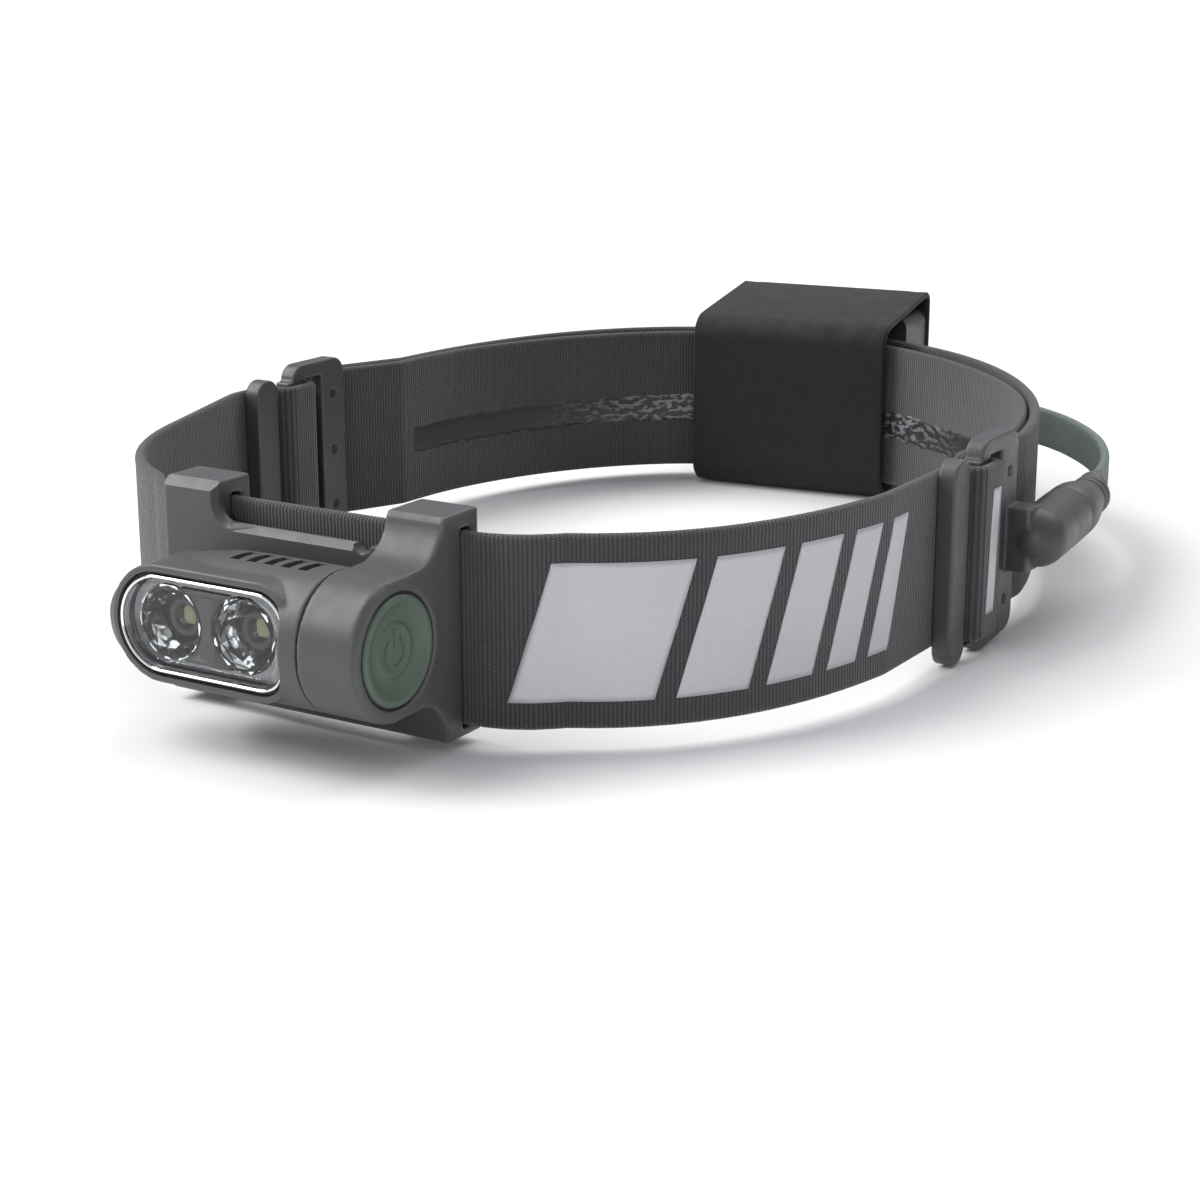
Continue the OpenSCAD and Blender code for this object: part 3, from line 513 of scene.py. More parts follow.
def ringed(name, rings, mat="grey_plastic", body=None, closed=False):
    """A piece through successive rings of points: capped at its ends, or closed on itself."""
    size = len(rings), len(rings[0])
    faces = bands(*size, closed) + ([] if closed else caps(*size))
    return outward(add(name, [p for ring in rings for p in ring], faces, mat, body))


def block_faces(rows, cols):
    """Faces of a closed block: two grids of points, one over the other, and their rim."""
    wide, top = cols + 1, (rows + 1) * (cols + 1)
    faces = [(base + i, base + i + 1, base + i + wide + 1, base + i + wide)
             for i in (r * wide + c for r in range(rows) for c in range(cols))
             for base in (0, top)]
    rim = ([(c, c + 1) for c in range(cols)]
           + [(r * wide + cols, (r + 1) * wide + cols) for r in range(rows)]
           + [(rows * wide + c + 1, rows * wide + c) for c in range(cols)][::-1]
           + [((r + 1) * wide, r * wide) for r in range(rows)][::-1])
    return faces + [(a, b, top + b, top + a) for a, b in rim]


def prism(name, outline, low, high, axis, mat="grey_plastic"):
    """Closed prism of a 2-D outline between two heights on an axis: x takes (y, z), y (x, z)."""
    count = len(outline)
    place = {
        "x": lambda p, h: (h, p[0], p[1]),
        "y": lambda p, h: (p[0], h, p[1]),
        "z": lambda p, h: (p[0], p[1], h),
    }[axis]
    verts = [place(p, h) for h in (low, high) for p in outline]
    return outward(add(name, verts, caps(2, count) + bands(2, count), mat, None))


def arc(cx, cy, r, start, end, steps=8):
    """Points along an arc, its angles in degrees."""
    return [(cx + r * math.cos(math.radians(a)), cy + r * math.sin(math.radians(a)))
            for a in np.linspace(start, end, steps)]


def circle(cx, cy, r, steps):
    """Points round a whole circle, none of them twice."""
    return arc(cx, cy, r, 0, 360, steps + 1)[:-1]


def turned(name, profile, place, mat, body, steps=96, angle=40):
    """(radius, height) points turned about local z; place takes a point to where it belongs."""
    rings = len(profile)
    verts = [place((r * c, r * s, h)) for c, s in circle(0, 0, 1, steps) for r, h in profile]
    faces = [(i * rings + k, j * rings + k, j * rings + k + 1, i * rings + k + 1)
             for i, j in ((i, (i + 1) % steps) for i in range(steps)) for k in range(rings - 1)]
    return shade(outward(add(name, verts, faces, mat, body), JOIN_WITHIN), angle)


def without_crumbs(piece, least=40):
    """The piece without the loose slivers that its cuts may leave."""
    mesh = bmesh.new()
    mesh.from_mesh(piece.data)
    bmesh.ops.remove_doubles(mesh, verts=mesh.verts, dist=CRUMB * MM)
    bmesh.ops.dissolve_degenerate(mesh, edges=mesh.edges, dist=CRUMB * MM)
    seen, crumbs = set(), []
    for start in mesh.faces:
        if start in seen:
            continue
        island, reach = [], [start]
        seen.add(start)
        while reach:
            face = reach.pop()
            island.append(face)
            paired = [edge for edge in face.edges if len(edge.link_faces) == 2]
            for near in (f for edge in paired for f in edge.link_faces if f not in seen):
                seen.add(near)
                reach.append(near)
        if len(island) < least:
            crumbs += island
    bmesh.ops.delete(mesh, geom=crumbs, context="FACES")
    loose = [v for v in mesh.verts if not v.link_faces]
    bmesh.ops.delete(mesh, geom=loose, context="VERTS")
    mesh.to_mesh(piece.data)
    mesh.free()
    return piece


def joined(name, parts):
    """Several loose objects as one mesh object, with no body yet."""
    with bpy.context.temp_override(active_object=parts[0], object=parts[0],
                                   selected_objects=parts, selected_editable_objects=parts):
        bpy.ops.object.join()
    parts[0].name = name
    return parts[0]


def cad_copy(node, name, mat):
    """A new mesh object with the shape of a CAD node."""
    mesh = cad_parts[node].data.copy()
    mesh.name = name
    mesh.materials.clear()
    mesh.materials.append(MATS[mat])
    return linked(name, mesh)


# ---------------------------------------------------------------- sizes from the frame

BRACKET_LOW, BRACKET_HIGH = box_mm("bracket")
CAP_LOW, CAP_HIGH = box_mm("button_cap")
LENS_LOW, LENS_HIGH = box_mm("lens")
AXIS_Y = (CAP_LOW[1] + CAP_HIGH[1]) / 2
AXIS_Z = (CAP_LOW[2] + CAP_HIGH[2]) / 2
BARREL_R = AXIS_Y - BRACKET_LOW[1]
BUTTON_R = (CAP_HIGH[1] - CAP_LOW[1]) / 2
BOSS_RIGHT = BRACKET_HIGH[0]
BOSS_LEFT = box_mm("detent_ring")[0][0] - 0.1
HEAD_LEFT = box_mm("head_shell")[0][0]
HEAD_RIGHT = BOSS_LEFT - 0.3
LENS_X = (LENS_LOW[0] + LENS_HIGH[0]) / 2
LENS_Z = (LENS_LOW[2] + LENS_HIGH[2]) / 2
LENS_W = LENS_HIGH[0] - LENS_LOW[0] + 0.2
LENS_H = LENS_HIGH[2] - LENS_LOW[2] + 0.2
LENS_Y = LENS_LOW[1]
SPLIT_Y = box_mm("head_back")[0][1]
STRAP_LOW, STRAP_HIGH = box_mm("strap")
STRAP_Z = (STRAP_LOW[2] + STRAP_HIGH[2]) / 2
STRAP_W = STRAP_HIGH[2] - STRAP_LOW[2]


# ---------------------------------------------------------------- CAD nodes that stay

KEPT = {
    "black_plastic": ["divider", "battery_front", "battery_back", "socket_insert"],
    "black_rubber": ["lens_gasket", "pivot_seal", "button_ring", "plug_seal", "port_cover",
                     "rivets_left", "rivets_right", "cable_gland"],
    "bare_metal": ["head_screws", "heat_sink", "battery_screws", "dome_switch"],
    "spring_steel": ["pivot_clip", "detent_ring"],
    "gold_contact": ["socket_contacts", "plug_pins"],
    "circuit_board": ["led_board", "switch_board", "battery_board"],
    "led_phosphor": ["spot_led", "flood_led"],
    "wire_jacket": ["inner_wire", "feed_wire", "battery_cell"],
    "grey_plastic": ["bracket", "head_shell", "head_back", "plug_body"],
    "slider_plastic": ["slider_left", "slider_right"],
    "bright_trim": ["lens_bezel", "spot_reflector", "flood_reflector"],
    "clear_lens": ["lens"],
    "button_rubber": ["button_cap"],
    "sleeve_fabric": ["sleeve"],
    "pad_foam": ["rear_pad"],
}
for mat_name, names in KEPT.items():
    for node_name in names:
        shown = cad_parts[node_name]
        shown.data.materials.clear()
        shown.data.materials.append(MATS[mat_name])

# ---------------------------------------------------------------- strap centre line

LEFT_LOW, LEFT_HIGH = box_mm("slider_left")
SLIDER_OUT, SLIDER_IN = -LEFT_LOW[0], -LEFT_HIGH[0]
HALF_W = (SLIDER_OUT + SLIDER_IN) / 2 + 0.1
HALF_D = -STRAP_LOW[1]
STRAP_T = 2.0
RUN_IN = SLIDER_IN - 0.05 - STRAP_T / 2
RUN_OUT = SLIDER_OUT + 0.05 + STRAP_T / 2
FOLD_IN = SLIDER_IN - 0.2 - STRAP_T / 2
FOLD_OUT = SLIDER_OUT + 0.2 + STRAP_T / 2
UNDER_RUN = RUN_IN - STRAP_T - 0.3
OVER_RUN = RUN_OUT + STRAP_T + 0.3
FOLD_R = STRAP_T / 2 + 0.5
SLOT_ONE, SLOT_TWO = 8.25, 16.55
REAR_BAR = 20.8
LEFT_FRONT, LEFT_REAR = LEFT_LOW[1], LEFT_HIGH[1]
RIGHT_FRONT = box_mm("slider_right")[0][1]
RIGHT_REAR = RIGHT_FRONT + LEFT_REAR - LEFT_FRONT


FRONT_SQUARE, LEFT_SQUARE, RIGHT_SQUARE = 2.9, 2.6, 1.8     # 2 is an ellipse, more is squarer
LAYER_GAP, SLEEVE_GAP = 0.5, 4.0        # between the strap's rear layers, and added at the sleeve
GAP_AT, GAP_REACH, GAP_EASE = 98, 62, 40        # degrees: its middle, its half and its slope


def squareness(a):
    """Squareness of the loop's part that holds the angle: front, rear left or rear right."""
    if math.sin(a) < 0:
        return FRONT_SQUARE
    return LEFT_SQUARE if math.cos(a) < 0 else RIGHT_SQUARE


def loop_edge(degrees):
    a = math.radians(degrees)
    n = squareness(a)
    r = (abs(math.cos(a) / HALF_W) ** n + abs(math.sin(a) / HALF_D) ** n) ** (-1 / n)
    return np.array([r * math.cos(a), r * math.sin(a)])


def loop_point(a, depth):
    u = loop_edge(a + 0.5) - loop_edge(a - 0.5)
    u /= np.linalg.norm(u)
    return loop_edge(a) + depth * np.array([-u[1], u[0]])


def loop_arc(start, end, depth, step=2.5):
    """Points along the loop; depth in from its edge is a number, or a function of the angle."""
    count = math.ceil(abs(end - start) / step)
    angles = [start + (end - start) * i / count for i in range(count + 1)]
    return [tuple(loop_point(a, depth(a) if callable(depth) else depth)) for a in angles]


def inner_depth(a):
    """Depth of the inner layer, which stands clear of the outer one at the sleeve."""
    k = min(1, max(0, (GAP_REACH - abs(a - GAP_AT)) / GAP_EASE))
    return STRAP_T * 1.5 + (LAYER_GAP + SLEEVE_GAP * k * k * (3 - 2 * k))


def round_corner(a, b, c, r):
    u, w = (b - a) / np.linalg.norm(b - a), (c - b) / np.linalg.norm(c - b)
    turn = math.acos(max(-1, min(1, float(u @ w))))
    side = math.copysign(1, u[0] * w[1] - u[1] * w[0])
    start = b - r * math.tan(turn / 2) * u
    centre = start + side * r * np.array([-u[1], u[0]])
    steps = max(3, math.ceil(math.degrees(turn) / 12))
    out = []
    for i in range(steps + 1):
        t = side * turn * i / steps
        v = start - centre
        out.append(tuple(centre + [v[0] * math.cos(t) - v[1] * math.sin(t),
                                   v[0] * math.sin(t) + v[1] * math.cos(t)]))
    return out


def round_path(points):
    out = []
    for i, p in enumerate(points):
        if len(p) == 2:
            out.append(p)
            continue
        before, after = points[max(i - 1, 0)], points[min(i + 1, len(points) - 1)]
        out += round_corner(np.array(before[:2]), np.array(p[:2]), np.array(after[:2]), p[2])
    return out


INNER_RUN = loop_arc(13, 167, inner_depth)
STRAP_PATH = round_path(
    [(RUN_IN, RIGHT_FRONT + REAR_BAR + 0.3), (RUN_IN, RIGHT_REAR + 2, 9)]
    + loop_arc(13, 164, STRAP_T / 2)
    + [(-OVER_RUN, LEFT_REAR + 5, 6), (-OVER_RUN, LEFT_FRONT + SLOT_TWO, FOLD_R),
       (-FOLD_IN, LEFT_FRONT + SLOT_TWO, FOLD_R), (-FOLD_IN, LEFT_FRONT + SLOT_ONE, FOLD_R),
       (-RUN_OUT, LEFT_FRONT + SLOT_ONE, FOLD_R), (-RUN_OUT, LEFT_FRONT - 2, 9)]
    + loop_arc(220, 246, STRAP_T / 2)
    + [(-35, -HALF_D + STRAP_T / 2, 18), (35, -HALF_D + STRAP_T / 2, 18)]
    + loop_arc(294, 330, STRAP_T / 2)
    + [(RUN_IN, RIGHT_FRONT - 2, 9), (RUN_IN, RIGHT_FRONT + SLOT_ONE, FOLD_R),
       (FOLD_OUT, RIGHT_FRONT + SLOT_ONE, FOLD_R), (FOLD_OUT, RIGHT_FRONT + SLOT_TWO, FOLD_R),
       (UNDER_RUN, RIGHT_FRONT + SLOT_TWO, FOLD_R), (UNDER_RUN, RIGHT_REAR + 2, 9)]
    + INNER_RUN
    + [(-RUN_OUT, LEFT_REAR + 2, 6), (-RUN_OUT, LEFT_FRONT + REAR_BAR + 0.3)])


class Run:
    """A centre line in plan, resampled evenly, with its left normal at each station."""

    def __init__(self, points, pitch):
        p = np.array(points, float)
        keep = np.r_[True, np.linalg.norm(np.diff(p, axis=0), axis=1) > 1e-4]
        p = p[keep]
        at = np.r_[0, np.cumsum(np.linalg.norm(np.diff(p, axis=0), axis=1))]
        self.length = at[-1]
        self.s = np.linspace(0, self.length, int(self.length / pitch) + 1)
        self.p = np.c_[np.interp(self.s, at, p[:, 0]), np.interp(self.s, at, p[:, 1])]
        t = np.gradient(self.p, self.s, axis=0)
        t /= np.linalg.norm(t, axis=1)[:, None]
        self.n = np.c_[-t[:, 1], t[:, 0]]

    def at(self, s, d, z):
        x = np.interp(s, self.s, self.p[:, 0]) + d * np.interp(s, self.s, self.n[:, 0])
        y = np.interp(s, self.s, self.p[:, 1]) + d * np.interp(s, self.s, self.n[:, 1])
        return (float(x), float(y), z)


def swept(name, run, section, mat, body="root"):
    """A closed section (d, z) swept along a run, with the run UV in metres."""
    count, rings = len(section), len(run.s)
    girth = np.r_[0, np.cumsum([math.dist(section[i], section[(i + 1) % count])
                                for i in range(count)])]
    verts, faces, uvs = [], [], []
    for k in range(rings):
        verts += [(run.p[k, 0] + d * run.n[k, 0], run.p[k, 1] + d * run.n[k, 1], z)
                  for d, z in section]
    for k in range(rings - 1):
        for i in range(count):
            j = (i + 1) % count
            faces.append((k * count + i, (k + 1) * count + i,
                          (k + 1) * count + j, k * count + j))
            a, b = run.s[k] * MM, run.s[k + 1] * MM
            uvs += [(a, girth[i] * MM), (b, girth[i] * MM),
                    (b, girth[i + 1] * MM), (a, girth[i + 1] * MM)]
    for ring, order in ((0, 1), (rings - 1, -1)):
        faces.append(tuple(ring * count + i for i in range(count))[::order])
        uvs += [(run.s[ring] * MM, girth[i] * MM) for i in range(count)][::order]
    return outward(add(name, verts, faces, mat, body, uvs=uvs))


def band_section(t, width, z, bead):
    """Webbing section: flat faces, rolled edges that stand a little proud."""
    half, top = t / 2, width / 2
    edge = [(math.cos(a), math.sin(a)) for a in np.linspace(0, math.pi, 7)]
    right = [(half, z + k * top) for k in (-0.86, -0.5, 0, 0.5, 0.86)]
    upper = [(half * bead * c, z + top - half * bead + half * bead * s) for c, s in edge]
    left = [(-d, h) for d, h in right[::-1]]
    lower = [(-half * bead * c, z - top + half * bead - half * bead * s) for c, s in edge]
    return right + upper + left + lower


# ---------------------------------------------------------------- webbing, prints, silicone

WEB_T = 1.9
strap_run = Run(STRAP_PATH, 0.5)
webbing_piece = swept("webbing", strap_run, band_section(WEB_T, STRAP_W - 0.1, STRAP_Z, 1.08),
                      "strap_webbing")
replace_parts(webbing_piece, "strap")


def print_bar(name, at, wide, lean=0.30, cols=20, rows=24, thick=0.12):
    """A slanted reflective bar on the webbing's face, from a place along its run."""
    middle = (PRINT_LOW + PRINT_HIGH) / 2
    verts = [strap_run.at(s + lean * (z - middle), PRINT_FACE + side, z)
             for side in (thick, -thick)
             for z in np.linspace(PRINT_LOW, PRINT_HIGH, rows + 1)
             for s in np.linspace(at, at + wide, cols + 1)]
    faces = block_faces(rows, cols)
    uvs = [(verts[v][0] * MM, verts[v][2] * MM) for f in faces for v in f]
    return outward(add(name, verts, faces, "reflective_print", uvs=uvs))


def run_length_at(test):
    """How far along the strap's run its first point is that passes the test."""
    return float(strap_run.s[next(i for i, point in enumerate(strap_run.p) if test(point))])


front_start = run_length_at(lambda p: p[0] > BRACKET_HIGH[0] + 5.5 and p[1] < -90)
PRINT_LOW, PRINT_HIGH = STRAP_LOW[2] + 4.8, STRAP_HIGH[2] - 4.6
PRINT_FACE = -(WEB_T / 2 + 0.03)
BARS = ((4.5, 23), (31, 12.5), (47, 9.5), (60, 7), (70.5, 5.5))     # start, and width along it
for k, (at, wide) in enumerate(BARS):
    print_bar(f"print_bar_{k + 1}", front_start + at, wide)
fold_start = run_length_at(lambda p: p[0] > FOLD_OUT - 0.02
                           and p[1] > RIGHT_FRONT + SLOT_ONE + FOLD_R + 0.2)
print_bar("print_bar_fold", fold_start + 0.9, 3.2, lean=0.06, cols=6)


def ragged(seed):
    """A small uneven offset along a run."""
    rng = np.random.default_rng(seed)
    waves = [(rng.uniform(0.15, 2.2), rng.uniform(0, 6.28), rng.uniform(0.02, 0.08))
             for _ in range(14)]
    return lambda s: sum(a * math.sin(f * s + p) for f, p, a in waves)


def stripe(name, run, first, last, z_low, z_high, rows=8, thick=0.22, pitch=0.4):
    """Silicone stripe with uneven, worn edges along a run's inner face."""
    edge_low, edge_high = ragged(3), ragged(11)
    d, buried = STRAP_T / 2 - 0.04, 0.2
    verts, faces, uvs = [], [], []
    stations = np.arange(first, last, pitch)
    for s in stations:
        low, high = z_low + edge_low(s), z_high + edge_high(s)
        for k in range(rows + 1):
            z = low + (high - low) * k / rows
            verts.append(run.at(s, d + thick * (1 - abs(2 * k / rows - 1) ** 4), z))
        for k in range(rows, -1, -1):
            verts.append(run.at(s, d - buried, low + (high - low) * k / rows))
    ring = 2 * (rows + 1)
    for i in range(len(stations) - 1):
        for k in range(ring):
            j = (k + 1) % ring
            faces.append((i * ring + k, (i + 1) * ring + k, (i + 1) * ring + j, i * ring + j))
            for a, b in ((i, k), (i + 1, k), (i + 1, j), (i, j)):
                uvs.append((stations[a] * MM, verts[a * ring + b][2] * MM))
    for i, order in ((0, 1), (len(stations) - 1, -1)):
        faces.append(tuple(i * ring + k for k in range(ring))[::order])
        uvs += [(stations[i] * MM, verts[i * ring + k][2] * MM) for k in range(ring)]
    return outward(add(name, verts, faces, "grip_silicone", uvs=uvs))


GRIP_LOW, GRIP_HIGH = box_mm("grip_strip")
inner_line = Run(INNER_RUN, 0.5)
grip = stripe("silicone_stripe", inner_line, inner_line.length * 0.04, inner_line.length * 0.985,
              GRIP_LOW[2], GRIP_HIGH[2])
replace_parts(grip, "grip_strip")


# ---------------------------------------------------------------- flat cable

CABLE_Z = 18.7
CABLE_ROUTE = [
    (78, 42), (77.4, 46.5), (76.4, 51.5), (75, 57), (72.8, 63.4), (70, 70), (66.6, 76.6),
    (62.4, 83), (57.6, 89), (52.2, 94.6), (46.2, 99.4), (39.8, 103.4), (33, 106.8),
    (26, 109.6), (19, 111.8), (14.4, 112.4), (10.4, 112.2),
]
CABLE_W, CABLE_T = 8.5, 2.0


def smooth_route(points, steps=8):
    """Catmull-Rom curve through the route's points."""
    p = [np.array(q, float) for q in points]
    p = [2 * p[0] - p[1]] + p + [2 * p[-1] - p[-2]]
    out = []
    for i in range(1, len(p) - 2):
        for k in range(steps):
            t = k / steps
            a, b, c, d = p[i - 1:i + 3]
            out.append(tuple(0.5 * (2 * b + (c - a) * t + (2 * a - 5 * b + 4 * c - d) * t * t
                                    + (3 * b - a - 3 * c + d) * t ** 3)))
    return out + [tuple(p[-2])]


def flat_section(t, w, z, count=10):
    """Flat section with full round edges."""
    half, flat = t / 2, w / 2 - t / 2
    ends = np.linspace(0, math.pi, count)
    upper = [(half * math.cos(a), z + flat + half * math.sin(a)) for a in ends]
    lower = [(-half * math.cos(a), z - flat - half * math.sin(a)) for a in ends]
    face = [(half, z + flat * k) for k in (-0.6, -0.2, 0.2, 0.6)]
    return face + upper + [(-d, h) for d, h in face[::-1]] + lower


cable_run = Run(smooth_route(CABLE_ROUTE), 0.7)
cable = swept("flat_cable", cable_run, flat_section(CABLE_T - 0.1, CABLE_W, CABLE_Z),
              "cable_weave", body=None)
PLUG_ROOT = np.array(CABLE_ROUTE[0])
PLUG_TURN = math.radians(5.7)
PLUG_DIRECTION = np.array([-math.sin(PLUG_TURN), math.cos(PLUG_TURN)])
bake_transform(cable)
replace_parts(cable, "cable")


# ---------------------------------------------------------------- plug, socket, strain relief

def plug_place(point):
    """A point about local z, laid along the plug's axis from its cable end backwards."""
    side = np.array([PLUG_DIRECTION[1], -PLUG_DIRECTION[0]])
    p = PLUG_ROOT + point[0] * side + point[2] * PLUG_DIRECTION
    return (float(p[0]), float(p[1]), CABLE_Z + point[1])


def soft_steps(profile, r):
    """A revolve profile with each inner corner replaced by two near points."""
    out = [profile[0]]
    for a, b, c in zip(profile, profile[1:], profile[2:]):
        for q in (a, c):
            v = np.array(q, float) - b
            length = np.linalg.norm(v)
            k = min(r, length * 0.4) / length
            out.append((b[0] + v[0] * k, b[1] + v[1] * k))
    out.append(profile[-1])
    return out


PLUG_PROFILE = soft_steps([
    (0.01, -30.3), (4.0, -30.3), (4.0, -20.0), (5.45, -19.7), (5.45, -15.6), (5.35, -13.5),
    (4.9, -10.6), (4.3, -8.2), (4.05, -7.0), (4.05, -5.4), (3.45, -5.2), (3.45, -4.5),
    (4.05, -4.3), (4.05, -3.2), (3.45, -3.0), (3.45, -2.3), (4.05, -2.1), (4.0, -0.6),
    (3.6, 0.0), (0.01, 0.0)], 0.3)
plug_piece = turned("plug_moulding", PLUG_PROFILE, plug_place, "grey_plastic", "plug", 56, 50)
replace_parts(plug_piece, "plug_body")

RELIEF = ((-0.5, 7.0, 8.0), (0.3, 6.2, 8.8), (1.0, 5.0, 9.0), (1.7, 4.0, 9.0),
          (2.3, 3.2, 8.95), (2.35, 2.6, 8.6))       # past the plug's end, thickness, width
relief = shade(ringed("strain_relief", [
    [plug_place((d, z, h)) for d, z in flat_section(thick, wide, 0, 8)]
    for h, thick, wide in RELIEF], body="plug"), 50)


# ---------------------------------------------------------------- sliders

for node in ("slider_left", "slider_right"):
    settled(moulded(cad_copy(node, node + "_moulding", "slider_plastic"), 0.27, 6), "root", node)


# ---------------------------------------------------------------- bracket

PLATE_FRONT = BRACKET_HIGH[1] - 9.1
WING_TOP, WING_LOW = BRACKET_HIGH[2], BRACKET_LOW[2]
BOSS_HOLLOW, BORE_R = 9.25, 9.3


def on_axis(v):
    """A point about local z, laid along the lamp's axis."""
    return (v[2], AXIS_Y + v[0], AXIS_Z + v[1])


saddle = (
    [(AXIS_Y - 2, AXIS_Z + BARREL_R - 0.25), (AXIS_Y + 3.0, AXIS_Z + BARREL_R - 0.15)]
    + arc(AXIS_Y + 4.4, AXIS_Z + BARREL_R + 7.6, 7.7, -85, -12, 9)
    + [(PLATE_FRONT + 0.2, WING_TOP), (PLATE_FRONT + 2.5, WING_TOP),
       (PLATE_FRONT + 2.5, WING_LOW), (PLATE_FRONT + 0.2, WING_LOW)]
    + arc(AXIS_Y + 5.4, AXIS_Z - BARREL_R - 6.3, 6.9, 12, 85, 9)
    + [(AXIS_Y - 2, AXIS_Z - BARREL_R + 0.25)])
boss_ring = [(BOSS_HOLLOW, BOSS_LEFT + 5.7), (BOSS_HOLLOW, BOSS_RIGHT),
             (BARREL_R - 0.9, BOSS_RIGHT), (BARREL_R - 0.1, BOSS_RIGHT - 0.8),
             (BARREL_R, BOSS_RIGHT - 1.6), (BARREL_R, BOSS_LEFT + 0.02),
             (BOSS_HOLLOW, BOSS_LEFT + 0.02), (BOSS_HOLLOW, BOSS_LEFT + 5.7)]
boss_piece = turned("boss_edge", boss_ring, on_axis, "grey_plastic", None)
saddle_piece = prism("saddle", saddle, BOSS_LEFT + 0.02, BOSS_RIGHT - 0.05, "x")
cut(saddle_piece, prism("saddle_bore", circle(AXIS_Y, AXIS_Z, BORE_R, 96),
                        BOSS_LEFT - 3, BOSS_RIGHT + 3, "x"))
WING_INNER, PLATE_TOP = BRACKET_LOW[0] + 11, STRAP_HIGH[2] - 3.4
CORNER = 3.1
CORNER_X, CORNER_Z = WING_INNER + CORNER, PLATE_TOP + CORNER
corner_fill = prism("corner_fill", [(WING_INNER - 1.4, CORNER_Z)]
                    + arc(CORNER_X, CORNER_Z, CORNER, 180, 270, 9)
                    + [(CORNER_X, PLATE_TOP - 2), (WING_INNER - 1.4, PLATE_TOP - 2)],
                    PLATE_FRONT + 0.02, PLATE_FRONT + 2.18, "y")
bracket_piece = joined("bracket_moulding", [
    cad_copy("bracket", "bracket_base", "grey_plastic"), boss_piece, saddle_piece, corner_fill])
NOTCH_X, NOTCH_Z, NOTCH_R = 11.3, 32.2, 1.75
notch = prism("notch", circle(NOTCH_X, NOTCH_Z, NOTCH_R, 27),
              PLATE_FRONT - 1, PLATE_FRONT + 5, "y")
moulded(bracket_piece, 0.32, 2)
cut(bracket_piece, notch)


def chamfer(piece, x_low, x_high, top, size):
    """A sloped cut along the top front edge of the plate or of a wing."""
    outline = [(PLATE_FRONT - 1, top - size - 1), (PLATE_FRONT + size, top),
               (PLATE_FRONT + size, top + 1), (PLATE_FRONT - 1, top + 1)]
    return cut(piece, prism("bevel", outline, x_low, x_high, "x"))


chamfer(bracket_piece, CORNER_X + 0.1, NOTCH_X - 1.7, PLATE_TOP, 1.2)
chamfer(bracket_piece, BRACKET_LOW[0] - 1, WING_INNER + 0.3, WING_TOP, 1.5)
sweep = ([(CORNER_X + 0.1, PLATE_TOP)] + arc(CORNER_X, CORNER_Z, CORNER, 265, 180, 9)
         + [(WING_INNER, WING_TOP + 1)])
sloped_edge = []
for k, (x, z) in enumerate(sweep):
    before, after = sweep[max(k - 1, 0)], sweep[min(k + 1, len(sweep) - 1)]
    t = np.array(after, float) - np.array(before, float)
    out = np.array([-t[1], t[0]]) / -np.linalg.norm(t)
    sloped_edge.append([(x + out[0] * far, PLATE_FRONT + deep, z + out[1] * far)
                        for far, deep in ((-1.25, -0.4), (0.6, 1.8), (0.6, -0.4))])
cut(bracket_piece, ringed("edge_cut", sloped_edge))
shade(bracket_piece, 40)
softened(bracket_piece, 3)
settled(bracket_piece, "root", "bracket")


# ---------------------------------------------------------------- button

FACE = CAP_HIGH[0]
R = BUTTON_R
CAP_ROOT = CAP_LOW[0] + 0.5
DISH = ((0, 0.55), (0.12, 0.2), (0.4, 0.03), (0.8, 0), (1.15, 0.08), (1.5, 0.32), (2.0, 0.72),
        (2.6, 1.05), (3.3, 1.22), (4.0, 1.25), (4.35, 1.2), (4.6, 0.98), (4.9, 0.9),
        (5.15, 0.98), (5.4, 1.05), (7.0, 1.02))     # in from the button's edge, below its face
button = turned("button_moulding", [(0.01, CAP_ROOT), (R, CAP_ROOT)]
                + [(R - d, FACE - h) for d, h in DISH] + [(0.01, FACE - 1.0)],
                on_axis, "button_rubber", "button", angle=60)
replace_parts(button, "button_cap")


def power_mark():
    """Raised power sign: an open ring and a short bar."""
    verts, faces = [], []
    proud, sink = FACE - 0.82, FACE - 1.3

    def bar(path, half):
        base = len(verts)
        n = len(path)
        for i, p in enumerate(path):
            a, b = np.array(path[max(i - 1, 0)]), np.array(path[min(i + 1, n - 1)])
            t = (b - a) / np.linalg.norm(b - a)
            s = np.array([-t[1], t[0]]) * half
            for q, x in ((s, sink), (s * 0.7, proud), (-s * 0.7, proud), (-s, sink)):
                verts.append((x, AXIS_Y + p[0] + q[0], AXIS_Z + p[1] + q[1]))
        faces.extend(bands(n, 4, base=base) + caps(n, 4, base))

    bar(arc(0, -0.2, 2.35, 125, 415, 36), 0.26)
    bar([(0, 0.6), (0, 2.0), (0, 3.3)], 0.26)
    return outward(add("button_sign", verts, faces, "button_rubber", "button"))


shade(power_mark(), 50)
turned("button_gap_ring", [
    (R + 0.05, FACE - 2.6), (R + 0.38, FACE - 2.6), (R + 0.38, FACE - 0.75),
    (R + 0.05, FACE - 0.75), (R + 0.05, FACE - 2.6)], on_axis, "black_rubber", "root")


# ---------------------------------------------------------------- lamp head

